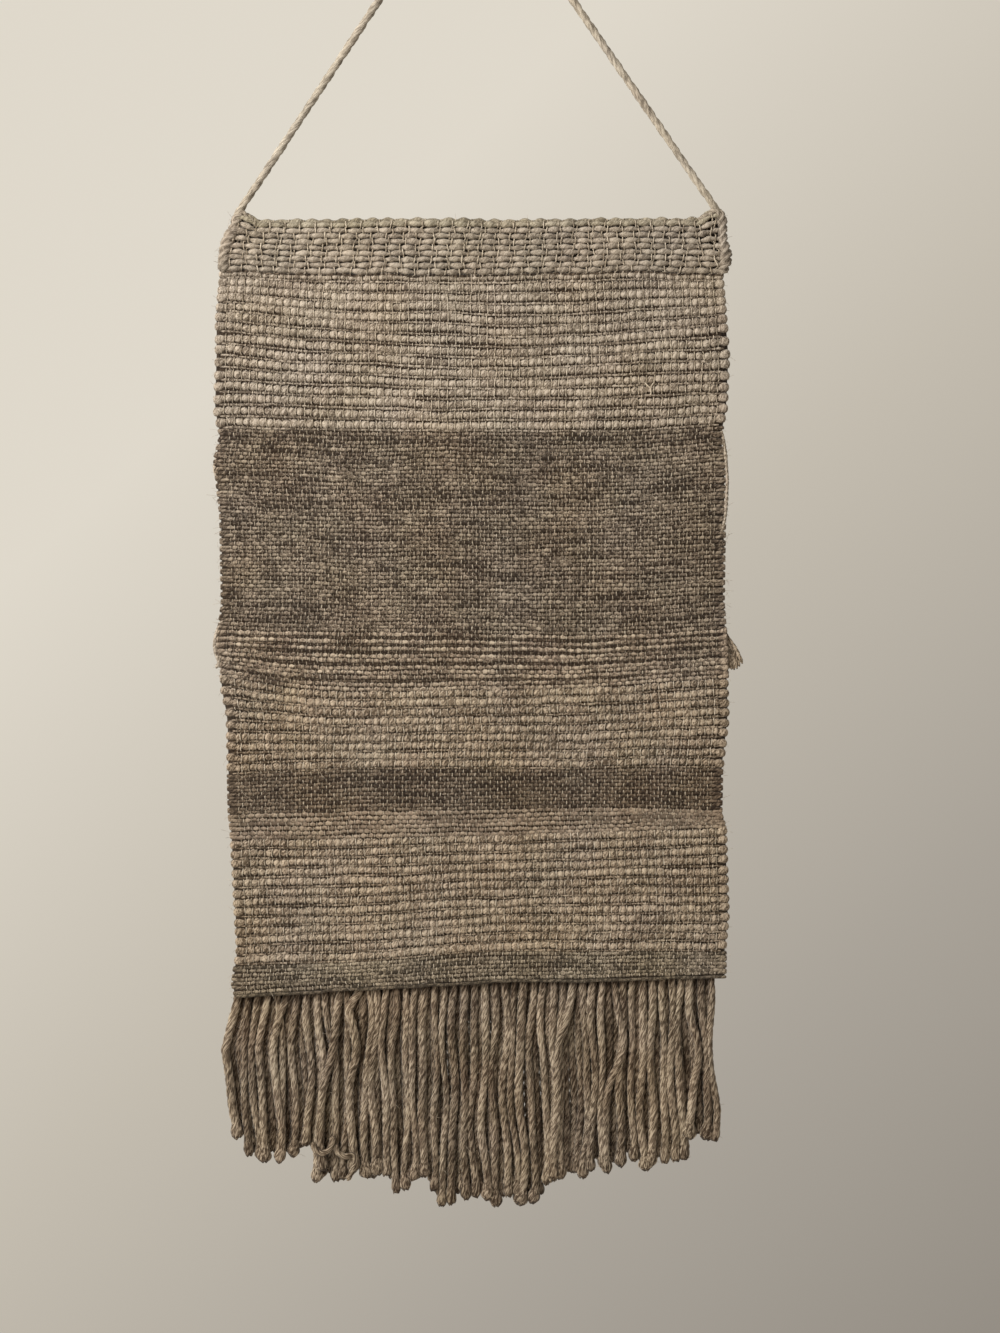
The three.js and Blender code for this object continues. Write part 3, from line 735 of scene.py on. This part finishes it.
# How thick the picks are, against their own half sizes.
pebbles = np.random.default_rng(PEBBLE_SEED).uniform(-1, 1, weft_x.shape)
calm = CALM["share"] * np.exp(-((shares - CALM["middle"]) / CALM["reach"]) ** 2)
calm = np.where(each("band") == CALM["band"], calm, 0.0)
shown_swell = swell * (1 - calm)
squeeze = 1 + each("slub") * surface("slub") + each("pebble") * pebbles + each("squeeze") * shown_swell

# Light and dark patches in the wool, drawn out along the rows.
pick_tone = np.array([[uneven(k, 7)] for k in range(pick_count)])
dark_run = np.clip((surface("dark_run") - DARK_RUN_ABOVE) / DARK_RUN_REACH, 0, 1)
weft_tone = (0.5 + each("tone")
             + each("marl") * (PATCH_TONE * surface("patch") + STREAK_TONE * surface("streak")
                               + PICK_TONE * pick_tone)
             + each("pebble") * np.roll(pebbles, 3, axis=1) - each("run") * smoothstep(dark_run))
# The seam's painted shadow line fades out at the left.
weft_tone[0] += SEAM_FADE * np.clip((SEAM_FADE_FROM - weft_x[0]) / SEAM_FADE_REACH, 0, 1)
# The thin picks are painted lighter in the calm middle, with less painted shade where the rows lie
# flatter.
weft_tone += CALM["thin_tone"] * calm * (each("kind") == "thin")
# Beside the warps, where the weft sinks, it gets painted shade (crease).
weft_shade = weft_tone - each("crease") * (1 - shown_swell) / 2


def weft_bundle(rows):
    """Picks of one kind, from one selvedge round to the other."""
    pick = picks[rows[0]]
    beaded = pick["kind"] in BEADED_KINDS and pick["band"] != "behind_heading"
    distances, sizes, gone = np.array(TURNS[pick["turn"]]).T
    kept = at_warp | beaded

    def with_turns(left, middle, right):
        return np.concatenate([left, middle[rows][:, kept], right], axis=1)

    turns = []
    for end, edges, inward in ((0, left_edges, 1.0), (-1, right_edges, -1.0)):
        partner = np.clip(rows + np.where((rows + end) % 2 == 0, 1, -1), 0, pick_count - 1)
        same_layer = np.abs(depths[partner] - depths[rows]) < SAME_LAYER_REACH
        last_z = centres[rows, end, 2]
        reach = np.where(same_layer, (centres[partner, end, 2] - last_z) / 2, 0)
        turns.append(xyz(edges[rows] + inward * distances, base_y[rows, end][:, None],
                         last_z[:, None] + gone * reach[:, None]))
    path = with_turns(turns[0][:, ::-1], centres, turns[1])
    turn_size = np.broadcast_to(sizes, (len(rows), len(sizes)))
    size = with_turns(turn_size[:, ::-1], squeeze, turn_size)
    # The turns get painted shade: their tone is pulled towards TURN_TONE.
    edge_tone = lerp(weft_tone[rows], TURN_TONE, TURN_TONE_SHARE)
    turn_shades = np.repeat(edge_tone[:, [0, -1]], len(sizes), axis=1)
    shade = with_turns(turn_shades[:, :len(sizes)], weft_shade, turn_shades[:, len(sizes):])
    bundle = tubes(path, half_heights[rows][:, None] * size, half_depths[rows][:, None] * size,
                   (0, 0, 1), np.ones(6 if beaded else 5), lay=9.0, seed=int(rows[0]) + 40)
    return with_shade(bundle, shade, between=pick["between"], under=pick["under"])


for name in ["heading", "fold", "behind_heading", "dark_lines", *(band["name"] for band in BANDS)]:
    in_band = column("band") == name
    groups = [np.flatnonzero(in_band & (column("kind") == kind)) for kind in KINDS]
    bundles = [weft_bundle(rows) for rows in groups if len(rows)]
    cloth_piece("weft_" + name, bundles, picks[int(np.argmax(in_band))]["wool"])

# The warp. It crosses every pick on the side that the weft leaves free, with two stations there.
WARP_CLEARANCE = 0.8 * WARP_HALF_DEPTH
WARP_END = 0.5
WARP_GROUPS = {"left": (0, 42), "middle": (42, 84), "right": (84, WARPS)}
unevenness = np.random.default_rng(BAR_SEED)
bar_tilt = each("tilt") * unevenness.uniform(-1, 1, (pick_count, WARPS))
bar_shift = BAR_SHIFT_SHARE * each("tilt") * unevenness.uniform(-1, 1, (pick_count, WARPS))
warp_x = weft_x[:, at_warp] + WARP_WANDER * surface("warp_wander")[:, at_warp] + bar_shift
on_top = ~in_heading | (weft_side < 0)
rise = each("half_depth") * squeeze[:, at_warp] - each("sway") + WARP_CLEARANCE
warp_offset = -np.sign(weft_side) * (rise + np.where(on_top, each("bar_lift"), 0))
held = np.where(on_top, each("bar_hold"), HIDDEN_HOLD) * each("pitch")
# Outward turned a quarter back is the warp's way on.
warp_path = np.stack([
    xyz(warp_x + sign * bar_tilt,
        base_y[:, at_warp] + outward_y * warp_offset + sign * outward_z * held,
        weft_z[:, at_warp] + outward_z * warp_offset - sign * outward_y * held)
    for sign in (-1, 1)], axis=1)
warp_path = warp_path.reshape(2 * pick_count, WARPS, 3).transpose(1, 0, 2)
warp_path = np.concatenate([warp_path, warp_path[:, -1:] - (0, 0, WARP_END)], axis=1)
warp_width = np.repeat(WARP_HALF_WIDTH * column("bar_width"), 2)
warp_width = np.append(warp_width, warp_width[-1])
warp_tone = np.array([[uneven(j, 8)] for j in range(WARPS)])
# The warp's shade over each kind of pick, lighter in the calm middle, is painted light and shade on the
# one warp yarn.
bar_shade = each("bar_shade") + CALM["bar_shade"] * calm[:, at_warp]
warp_shade = np.repeat(bar_shade, 2, axis=0).T
warp_shade = np.concatenate([warp_shade, warp_shade[:, -1:]], axis=1) + WARP_TONE * warp_tone
ridge_forward = np.full((1, warp_path.shape[1]), math.pi / 2)
for group, (first, end) in WARP_GROUPS.items():
    bundle = tubes(warp_path[first:end], warp_width, WARP_HALF_DEPTH, (1, 0, 0), np.ones(3),
                   twist=ridge_forward, seed=first + 300)
    cloth_piece("warp_" + group, [with_shade(bundle, warp_shade[first:end])], "warp_yarn")

# The rolled selvedges of the heading, from under its top edge over each corner and down to the seam.
ROLL_HALF, ROLL_LAY = 4.1, 17.0
ROLLS = [
    {"route": [(-147.5, -0.6, -243.4), (-151.5, -1.2, -241.2), (-156, -1.6, -238),
               (-160, -1.8, -236), (-163, -1.9, -239), (-164.2, -1.9, -244.5),
               (-168.2, -1.9, -251.5), (-171, -1.8, -259), (-172.4, -1.6, -268),
               (-172.8, -1.1, -276.5)],
     "growth": [(0, 0.5), (0.22, 0.66), (0.36, 1), (0.8, 1.08), (1, 1)]},
    {"route": [(152.5, -0.6, -242.2), (157, -1.2, -239.2), (161.5, -1.6, -236.8),
               (166, -1.8, -234.6), (169.4, -1.9, -236), (171.2, -1.9, -241),
               (171.4, -1.9, -248), (171.8, -1.9, -255), (173.4, -1.8, -263),
               (173.2, -1.5, -270), (170.2, -1.1, -277.5)],
     "growth": [(0, 0.5), (0.22, 0.66), (0.36, 0.86), (0.5, 0.74), (0.64, 0.84), (0.78, 1.08),
                (0.92, 1.04), (1, 0.9)]},
]
# Their ply grooves get deeper painted shade.
rolls = [plied_yarn(smooth_route(roll["route"], 90), ROLL_HALF, ROLL_LAY, ROLL_SECTION, seed, 0.10,
                    0.46, roll["growth"], groove_shade=0.32) for seed, roll in enumerate(ROLLS, 60)]
cloth_piece("rolled_selvedges", rolls, "heading_wool")

# The thick yarn where it is carried down the outside of a selvedge past a fine band: twice at the
# left and once at the right.
CARRIED = [
    [(-171.6, 0.6, -394), (-175.2, 0, -400.6), (-177.9, -0.4, -405.4),
     (-178.9, -0.4, -411), (-177.6, 0, -417.2), (-173.7, 0.6, -424)],
    [(-172.8, 0.6, -514), (-177, 0, -522.7), (-178.9, -0.4, -531),
     (-178.3, -0.4, -538.5), (-176, -0.8, -544.8), (-178, -0.6, -549.2)],
    [(170.2, 0.6, -384), (172.2, 0, -392), (173.8, -0.4, -405.4), (174.6, -0.4, -417),
     (174.1, -0.4, -433), (173, 0, -446), (170.6, 0.6, -456)],
]
carried = [plied_yarn(smooth_route(route, 36), 1.4, 11.0, CORD_SECTION, seed, 0.08, 0.6)
           for seed, route in enumerate(CARRIED, 70)]
cloth_piece("carried_yarns", carried, "beige_wool")

# Stray ends of pale thread on the front of the cloth.
STRAY_THREADS = [
    [(165.2, -4.9, -266.2), (165.6, -5.3, -267.9), (166.6, -5.4, -270), (167.9, -5, -272.4)],
    [(116.4, -1.6, -350.8), (119.2, -2.6, -354), (121.4, -2.9, -356.2), (122, -2.4, -361.4)],
    [(124.6, -1.8, -351.6), (122.6, -2.6, -354.2), (121.8, -2.9, -356.4)],
]
strays = [plied_yarn(smooth_route(route, 14), 0.5, 6.0, CORD_SECTION, seed, 0.05, 0.95)
          for seed, route in enumerate(STRAY_THREADS, 140)]
cloth_piece("stray_thread_ends", strays, "warp_yarn")

# Single fibres that stand off the wool.
FIBRE_HALF = 0.10
FIBRE_STEPS = 5
SHORTEST_FIBRE = 1.5


def fibres(points, outward, count, longest, seed):
    """Thin fibres that start at some of the points and curl away outward."""
    random = np.random.default_rng(seed)
    chosen = random.integers(0, len(points), count)
    length = random.uniform(SHORTEST_FIBRE, longest, (count, 1, 1))
    outward = np.broadcast_to(outward, points.shape)[chosen]
    heading = unit(outward + random.normal(0, 0.8, (count, 3)))[:, None]
    bend = random.normal(0, 0.5, (count, 1, 3))
    t = np.linspace(0, 1, FIBRE_STEPS)[:, None]
    paths = points[chosen][:, None] + length * (heading * t + bend * t**2)
    bundle = tubes(paths, FIBRE_HALF, FIBRE_HALF, (0.4, 0.2, 0.9), np.ones(3), seed=seed)
    shade = np.repeat(random.uniform(0.4, 0.9, (count, 1)), FIBRE_STEPS, axis=1)
    return with_shade(bundle, shade)


woolly = np.flatnonzero(np.isin(column("kind"), ("thick", "heading", "fine")))
fibre_bundles = []
for seed, way, count in ((150, -1.0, 1000), (151, 1.0, 300)):
    on_face = centres[woolly].copy()
    on_face[..., 1] += way * 0.8 * half_depths[woolly][:, None]
    fibre_bundles.append(fibres(on_face.reshape(-1, 3), (0.0, way, 0.0), count, 5.0, seed))
for seed, way, end, edges in ((160, -1.0, 0, left_edges), (161, 1.0, -1, right_edges)):
    at_edge = centres[woolly][:, end].copy()
    at_edge[:, 0] = edges[woolly][:, 0] - way
    fibre_bundles.append(fibres(at_edge, (way, 0.0, 0.0), 170, 4.0, seed))
cloth_piece("cloth_fibres", fibre_bundles, "beige_wool")

# A dark sheet in the middle of the cloth that paints the shade between the yarns. It is a thin closed
# sheet.
SHADE_SHEET_HALF_THICKNESS = 0.25
SHADE_SHEET_INSET = 1.8
SHADE_SHEET_TOP, SHADE_SHEET_BOTTOM = TOP_DEPTH + 3.5, HEM_DEPTH - 1.5
SHADE_SHEET_ROWS, SHADE_SHEET_COLUMNS = 70, 41


def shade_sheet_points():
    depth = np.linspace(SHADE_SHEET_TOP, SHADE_SHEET_BOTTOM, SHADE_SHEET_ROWS)
    *edges, x, z = cloth_rows(depth, np.linspace(0, 1, SHADE_SHEET_COLUMNS), SHADE_SHEET_INSET)
    faces = [xyz(x, cloth_wave(x, -z) + side * SHADE_SHEET_HALF_THICKNESS, z) for side in (-1, 1)]
    return np.concatenate(faces).reshape(-1, 3)


def shade_sheet_faces():
    back = SHADE_SHEET_ROWS * SHADE_SHEET_COLUMNS
    index = np.arange(back).reshape(SHADE_SHEET_ROWS, SHADE_SHEET_COLUMNS)
    a, b, c, d = index[:-1, :-1], index[:-1, 1:], index[1:, 1:], index[1:, :-1]
    rim = np.concatenate([index[0, :], index[1:, -1], index[-1, -2::-1], index[-2:0:-1, 0]])
    following = np.roll(rim, -1)
    return [np.stack([a, b, c, d], -1).reshape(-1, 4),
            np.stack([d, c, b, a], -1).reshape(-1, 4) + back,
            np.stack([following, rim, rim + back, following + back], -1)]


points = shade_sheet_points()
shade_sheet = {"points": points, "fibre": points, "faces": shade_sheet_faces(), "shade": np.full(len(points), 0.5)}
painted_shade_sheet = piece("painted_shade_sheet", [shade_sheet], "painted_gap_shade")
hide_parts("woven_panel")


# The fringe. Strands hang in a front row and a back row. Each wanders a little, and some lean
# across their neighbours.

FRINGE_LEFT, FRINGE_RIGHT = -163.4, 164.2
FRONT_STRANDS, BACK_STRANDS = 49, 66
# shaded_side paints shade on the side of each row that faces the other row.
FRINGE_ROWS = [
    {"name": "front", "first": 0, "count": FRONT_STRANDS, "inset": 0, "y": 4.1, "stagger": 0,
     "fall": 2, "shorter": 0, "steps": 80, "half": 2.85, "own_sway": 1, "edge_reach": 14,
     "size_spread": 0.15, "shaded_side": -0.2},
    {"name": "back", "first": FRONT_STRANDS, "count": BACK_STRANDS, "inset": 0.3, "y": 7.6,
     "stagger": 1.1, "fall": 1, "shorter": 5, "steps": 48, "half": 3.35, "own_sway": 0.25,
     "edge_reach": 45, "size_spread": 0.04, "shaded_side": 0.14},
]
STRIP_ABOVE_HEM = 3.0
STRIP_HEIGHT = 11.0
ROOT_IN_STRIP = 3.2
FALL_LENGTH = 40.0
# How deep the cut ends hang, across the fringe.
TIPS = np.array([
    (-162, 875), (-155, 890), (-128, 889), (-118, 885), (-113, 876), (-108, 909), (-99, 904),
    (-93, 892), (-87, 905), (-80, 894), (-72, 907), (-64, 896), (-55, 912), (-43, 909), (-37, 898),
    (-29, 908), (-21, 921), (0, 916), (18, 921), (25, 909), (33, 921), (43, 918), (48, 905),
    (75, 902), (80, 895), (101, 898), (106, 887), (116, 896), (145, 889), (149, 875), (165, 876),
])
TIP_UNEVENNESS = 1.6
# How far the fringe's two sides stand to the right, by the drop: drop, left and right.
EDGE_SWAY = np.array([
    (0, 0, 0), (12, -1.5, 0), (38, -7.2, -0.5), (62, -2.5, 0.3), (94, 1.6, 3.6), (120, 1.0, 2.2),
])
COMMON_SWAY = {"height": 1.1, "across": 95.0, "down": 150.0}
OWN_SWAYS = [{"height": 0.8, "down": 70.0, "channel": 5}, {"height": 1.1, "down": 128.0, "channel": 19}]
OWN_LEAN = 1.4
# The strands that lean most: how far each stands forward, and its shift to the right by the drop.
LEANING = {
    4: (0, [(0, 0), (24, 2.5), (50, 1.5), (90, -1)]),
    5: (2.4, [(0, 0), (8, -2), (24, -7), (40, -9.5), (60, -8.5), (90, -6)]),
    8: (0.8, [(0, 0), (24, 3.4), (41, 7), (62, 5), (90, 3)]),
    9: (0, [(0, -1.5), (24, 1.4), (41, 3), (62, 3), (90, 5)]),
    10: (2.6, [(0, 2.5), (24, -0.8), (41, -3.5), (62, -8), (90, -7)]),
    12: (1.8, [(0, 3), (14, -3.5), (24, -1), (41, 1.4), (62, -2.8), (90, -2)]),
    13: (0, [(0, 1.5), (24, 3), (60, 2.5), (90, 1)]),
    34: (2.2, [(0, 0), (17, -1), (32, -3.8), (41, -7), (55, -10), (70, -12), (95, -12)]),
    38: (1.6, [(0, 1.4), (24, 4), (34, 4.8), (45, 4), (55, 1.4), (69, -3.5), (95, -4)]),
    46: (1.4, [(0, -1.5), (25, 0), (38, 3.5), (52, 3.5), (70, -1), (95, -2)]),
}
STRAND_LAY = 30.0
# The cut end of a strand opens into a blunt brush: its length, ribs and swell down its length.
BRUSH_LENGTH = 13.0
BRUSH_SECTION = np.array([0.84, 1.0] * 8)
BRUSH_SWELL = np.array([0.80, 1.0, 1.08, 1.2, 1.34, 1.46, 1.52, 1.46, 1.20, 0.66])
BRUSH_LAY = 70.0
RIM_UNEVENNESS = 1.2


def strand_sway(row, root_x, drop, strand):
    left = np.interp(drop, EDGE_SWAY[:, 0], EDGE_SWAY[:, 1])
    right = np.interp(drop, EDGE_SWAY[:, 0], EDGE_SWAY[:, 2])
    common = COMMON_SWAY["height"] * np.sin(TAU * (root_x / COMMON_SWAY["across"]
                                                   + drop / COMMON_SWAY["down"]))
    own = OWN_LEAN * uneven(strand, 20) * drop / 100
    for sway in OWN_SWAYS:
        phase = math.pi * uneven(strand, sway["channel"])
        own = own + sway["height"] * (np.sin(TAU * drop / sway["down"] + phase) - math.sin(phase))
    return (left * math.exp((FRINGE_LEFT - root_x) / row["edge_reach"])
            + right * math.exp((root_x - FRINGE_RIGHT) / row["edge_reach"])
            + np.minimum(1, drop / FALL_LENGTH) * common
            + np.minimum(1, drop / 12) * row["own_sway"] * own)


def strand_path(row, index, steps):
    """The middle line of one strand, from its root to its cut end, and the drop below the hem."""
    strand = row["first"] + index
    inset = row["inset"] * (FRINGE_RIGHT - FRINGE_LEFT) / (FRONT_STRANDS - 1)
    root_x = lerp(FRINGE_LEFT + inset, FRINGE_RIGHT - inset, index / (row["count"] - 1))
    tip = np.interp(root_x, TIPS[:, 0], TIPS[:, 1]) - row["shorter"] + TIP_UNEVENNESS * uneven(strand, 3)
    root_depth = hem_depth_at(root_x) - STRIP_ABOVE_HEM - ROOT_IN_STRIP
    depth = np.linspace(root_depth, tip - 1.5, steps)
    drop = np.maximum(0, depth - root_depth - ROOT_IN_STRIP)
    below_hem = np.maximum(0, drop - STRIP_ABOVE_HEM)
    x = root_x + strand_sway(row, root_x, drop, strand)
    forward = row["fall"] * np.minimum(1, below_hem / FALL_LENGTH)
    out_of_line = row["stagger"] * (-1) ** index + 0.5 * uneven(strand, 21)
    y = cloth_wave(root_x, root_depth) + row["y"] - forward + out_of_line * np.minimum(1, drop / 20)
    if strand in LEANING:
        stands_forward, shifts = LEANING[strand]
        drops, shift = np.array(shifts, float).T
        x = x + through(drops, shift, np.minimum(below_hem, drops[-1] - 0.01))
        y = y - stands_forward * smoothstep(np.clip((below_hem - 3) / 16, 0, 1))
    return xyz(x, y, -depth), below_hem


def strand_profile(row, index):
    """A strand's middle line, half width, half depth, twist and shade at its stations."""
    strand = row["first"] + index
    path, below_hem = strand_path(row, index, row["steps"])
    along = length_along(path)
    to_end = along[-1] - along
    closed = 1 - 0.35 * np.clip((BRUSH_LENGTH - to_end) / BRUSH_LENGTH, 0, 1)
    grown = np.clip(below_hem / 14, 0, 1)
    own_size = (1 + row["size_spread"] * uneven(strand, 9)
                + 0.05 * np.sin(along / 17 + 9 * uneven(strand, 22)))
    tone = 0.44 + 0.10 * uneven(strand, 11)
    # Painted shadow of the hem on the strands just below it.
    painted_hem_shadow = 0.22 * np.clip(1 - below_hem / 7, 0, 1)
    return (path, row["half"] * own_size * lerp(0.90, 1.0, grown) * closed,
            row["half"] * own_size * lerp(0.60, 0.95, grown) * closed,
            TAU * (along / STRAND_LAY + uneven(strand, 10)),
            tone + 0.09 * np.sin(along / 13 + 7 * uneven(strand, 12)) - painted_hem_shadow)


def brush_profile(row, index):
    """The same for the cut end of a strand, opened into a ribbed brush."""
    strand = row["first"] + index
    path = strand_path(row, index, row["steps"])[0]
    t = np.linspace(0, 1, len(BRUSH_SWELL))
    direction = unit(path[-1] - path[-5])
    line = path[-1] - direction * (BRUSH_LENGTH - 1.2) + direction * (BRUSH_LENGTH * t)[:, None]
    line[:, 0] += 1.5 * uneven(strand, 25) * t**2
    flare = 1 + (BRUSH_SWELL - 1) * (1 + 0.6 * uneven(strand, 23))
    own_size = row["half"] * (1 + row["size_spread"] * uneven(strand, 9))
    # The last fifth of the brush is painted darker: shade on the cut end's underside.
    return (line, own_size * flare, 0.80 * own_size * flare,
            TAU * (BRUSH_LENGTH * t / BRUSH_LAY + uneven(strand, 10)),
            0.52 + 0.10 * uneven(strand, 11) - 0.40 * np.clip((t - 0.80) / 0.20, 0, 1))


def row_tubes(row, profile, section, seed, **shading):
    """The tubes of a fringe row, one through each strand's profile."""
    profiles = [profile(row, index) for index in range(row["count"])]
    paths, wides, deeps, twists, shades = (np.array(values) for values in zip(*profiles))
    bundle = tubes(paths, wides, deeps, (1, 0, 0), section, twists, seed=row["first"] + seed)
    return with_shade(bundle, shades, shaded_side=row["shaded_side"], **shading)


def fringe_row(row):
    """A row's strands and their brushes. Each brush has ribs that end unevenly."""
    # The strands' sides are painted lighter and their ply grooves painted darker; the brushes' grooves
    # get deeper painted shade.
    strands = row_tubes(row, strand_profile, STRAND_SECTION, 500, between=-0.06, grooves=0.10)
    brushes = row_tubes(row, brush_profile, BRUSH_SECTION, 700, grooves=0.30)
    steps, ribs = len(BRUSH_SWELL), len(BRUSH_SECTION)
    numbers = range(row["first"] * ribs, (row["first"] + row["count"]) * ribs)
    rims = RIM_UNEVENNESS * np.array([uneven(number, 27) for number in numbers])
    points = brushes["points"].reshape(row["count"], steps, ribs, 3)
    points[..., 2] += rims.reshape(-1, 1, ribs) * (np.linspace(0, 1, steps)**4)[:, None]
    return [strands, brushes]


# Ends that curl across the front of their neighbours.
CURLS = [
    [(-111, -0.6, -876), (-109.6, -2.2, -880.6), (-105.6, -3.4, -883.2), (-101.2, -3.4, -882),
     (-98.2, -2, -877.8), (-97.4, 0, -872)],
    [(-95.4, -0.4, -877), (-94, -2.4, -882.6), (-88.6, -3.8, -885.2), (-83.4, -3.6, -884.2),
     (-81.6, -2.6, -889), (-84.2, -1.8, -896), (-87.4, -1.2, -902.4)],
]
curls = [plied_yarn(smooth_route(route, 44), 2.2, 22.0, STRAND_SECTION, seed, 0.1, 0.44)
         for seed, route in enumerate(CURLS, 90)]
front_row, back_row = FRINGE_ROWS
front_fringe = piece("fringe_front_row", fringe_row(front_row) + curls, "fringe_wool")
piece("fringe_back_row", fringe_row(back_row), "fringe_wool")
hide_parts("fringe")

strand_points = np.concatenate([strand_path(front_row, index, 60)[0] for index in range(FRONT_STRANDS)])
around_strands = np.random.default_rng(170).normal(0, 1, strand_points.shape) * (1, 1, 0.1)
fibre_starts = strand_points + 0.75 * front_row["half"] * unit(around_strands)
strand_fibres = fibres(fibre_starts, unit(around_strands), 600, 5.0, 171)
piece("fringe_fibres", [strand_fibres], "fringe_wool")

# The ribbed tape that holds the roots behind the hem. Its section is a square with round corners.
TAPE_OVERHANG = 2.4
TAPE_COLUMNS = 220
TAPE_RIB = 0.14
TAPE_FRONT, TAPE_BACK = 2.0, 9.9


def squared(wave):
    return np.sign(wave) * np.abs(wave) ** 0.35


def tape_middle(x):
    """The tape's y, without its own depth, and its z at x."""
    low = hem_depth_at(x) - STRIP_ABOVE_HEM
    return cloth_wave(x, low), -low + STRIP_HEIGHT / 2


around = np.linspace(0, TAU, 24, endpoint=False)
tape_section = np.hypot(squared(np.cos(around)), squared(np.sin(around)))
tape_x = np.linspace(FRINGE_LEFT - TAPE_OVERHANG, FRINGE_RIGHT + TAPE_OVERHANG, TAPE_COLUMNS)
tape_y, tape_z = tape_middle(tape_x)
tape_path = xyz(tape_x, tape_y + (TAPE_FRONT + TAPE_BACK) / 2, tape_z)
ribs = TAPE_RIB * (-1.0) ** np.arange(TAPE_COLUMNS)
tape = tubes(tape_path[None], STRIP_HEIGHT / 2, (TAPE_BACK - TAPE_FRONT) / 2 + ribs, (0, 0, 1),
             tape_section)
# The tape's shade follows its ribs: painted light on the raised ribs and painted shade between them.
piece("fringe_tape", [with_shade(tape, 0.50 + 0.8 * ribs[None])], "olive_wool")

# Two rows of slanting stitches hold the roots to the tape. They show on its back.
STITCH_SPACING = 5.2
STITCH_HALF = 0.42
STITCH_SLANT = 2.4
STITCH_HEIGHT = 3.0
STITCH_ROWS = (2.4, -2.4)
STITCH_SINKS, STITCH_RISES = 0.5, 0.75
stitch_t = np.linspace(0, 1, 7)
stitch_paths = []
for stitch_row in STITCH_ROWS:
    for start_x in np.arange(FRINGE_LEFT, FRINGE_RIGHT - STITCH_SLANT, STITCH_SPACING):
        x = start_x + STITCH_SLANT * stitch_t
        y, z = tape_middle(x)
        y = y + TAPE_BACK - STITCH_SINKS + STITCH_RISES * np.sin(math.pi * stitch_t)
        z = z + stitch_row + STITCH_HEIGHT * (stitch_t - 0.5)
        stitch_paths.append(xyz(x, y, z))
stitches = tubes(np.array(stitch_paths), STITCH_HALF, STITCH_HALF, (0, 1, 0), np.ones(5), seed=181)
stitch_shade = np.full((len(stitch_paths), len(stitch_t)), 0.6)
piece("tape_stitches", [with_shade(stitches, stitch_shade)], "warp_yarn")

# The leftover tail of thick yarn behind the right selvedge. It opens into a fan of plies.
TAIL_PLIES = 6
TAIL_PLY_HALF = 1.25
TAIL_LAY = 14.0
TAIL_ROOT = [(171.6, 4.2, -502.0), (173.0, 4.8, -524.0)]
TAIL_ENDS = [(176.4, 4.2, -549.4), (185.6, 3.2, -546.0)]
TAIL_GROWTH = [(0, 0.8), (0.5, 0.95), (1, 1.15)]


def tail_ply(ply):
    share = ply / (TAIL_PLIES - 1)
    end = lerp(np.array(TAIL_ENDS[0]), np.array(TAIL_ENDS[1]), share)
    end[2] -= 2.4 * math.sin(math.pi * share)
    start = np.array(TAIL_ROOT[1]) + (1.6 * (share - 0.5), 0.0, 0.0)
    middle = lerp(start, end, 0.55) + (0.9 * (share - 0.2), 0.0, 0.6)
    path = smooth_route([TAIL_ROOT[0], start, middle, end], 24)
    path[:, 1] += 0.5 * (-1) ** ply
    return plied_yarn(path, TAIL_PLY_HALF, TAIL_LAY, CORD_SECTION, 120 + ply, 0.08, 0.50, TAIL_GROWTH)


tail = piece("plied_yarn_tail", [tail_ply(ply) for ply in range(TAIL_PLIES)], "warm_beige_wool")
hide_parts("loose_yarn_tail")


# Light, floor and background, in metres

LIGHTS_AIM = (0.0, 0.0, -0.55)


def area_light(name, location, size, watts, colour):
    data = bpy.data.lights.new(name, "AREA")
    data.size = size
    data.energy = watts
    data.color = colour
    lamp = add_object(name, data)
    lamp.location = location
    x, y, z = np.array(LIGHTS_AIM) - np.array(location)
    lamp.rotation_euler = (math.atan2(math.hypot(x, y), -z), 0, math.atan2(-x, y))


area_light("key", (-0.75, -0.80, 0.10), 1.1, 15.8, (1.0, 0.97, 0.93))
area_light("fill", (-1.15, -1.55, -0.3), 1.6, 9, (1.0, 0.97, 0.94))
area_light("behind", (0.4, 2.2, 0.6), 1.6, 22, (1.0, 0.97, 0.93))

# The room is paler above and to the left, and darker below and to the right.
world = bpy.data.worlds.new("pale_room")
room = NodeMaker(world)
direction = room.add("SeparateXYZ", {"Vector": room.add("TexCoord", output="Generated")}).node.outputs
towards_light = room.added(room.spread(direction["Z"], -1.0, 1.0, -0.42, 1.3),
                           room.spread(direction["X"], -1.0, 1.0, 0.9, -0.72))
room.set_inputs(room.nodes["Background"], {
    "Color": room.ramp(towards_light, [(0.10, (0.30, 0.272, 0.235, 1)), (0.75, (0.74, 0.69, 0.60, 1)),
                                       (0.28, (0.40, 0.366, 0.318, 1)), (0.50, (0.55, 0.505, 0.43, 1))]),
    "Strength": room.spread(direction["Y"], -0.7, 0.2, 0.6, 1.0),
})
bpy.context.scene.world = world

FLOOR_DEPTH = 1.42
FLOOR_RADIUS = 1.1
FLOOR_SIDES = 64
floor_mesh = bpy.data.meshes.new("pale_floor")
floor_angles = [TAU * side / FLOOR_SIDES for side in range(FLOOR_SIDES)]
floor_ring = [(FLOOR_RADIUS * math.cos(angle), FLOOR_RADIUS * math.sin(angle), -FLOOR_DEPTH)
              for angle in floor_angles]
floor_mesh.from_pydata(floor_ring, [], [range(FLOOR_SIDES)])
floor_material = bpy.data.materials.new("pale_floor")
floor_maker = NodeMaker(floor_material)
floor_maker.set_inputs(floor_maker.nodes["Principled BSDF"],
                       {"Base Color": (0.7, 0.67, 0.62, 1), "Roughness": 0.9})
floor_mesh.materials.append(floor_material)
add_object("pale_floor", floor_mesh)
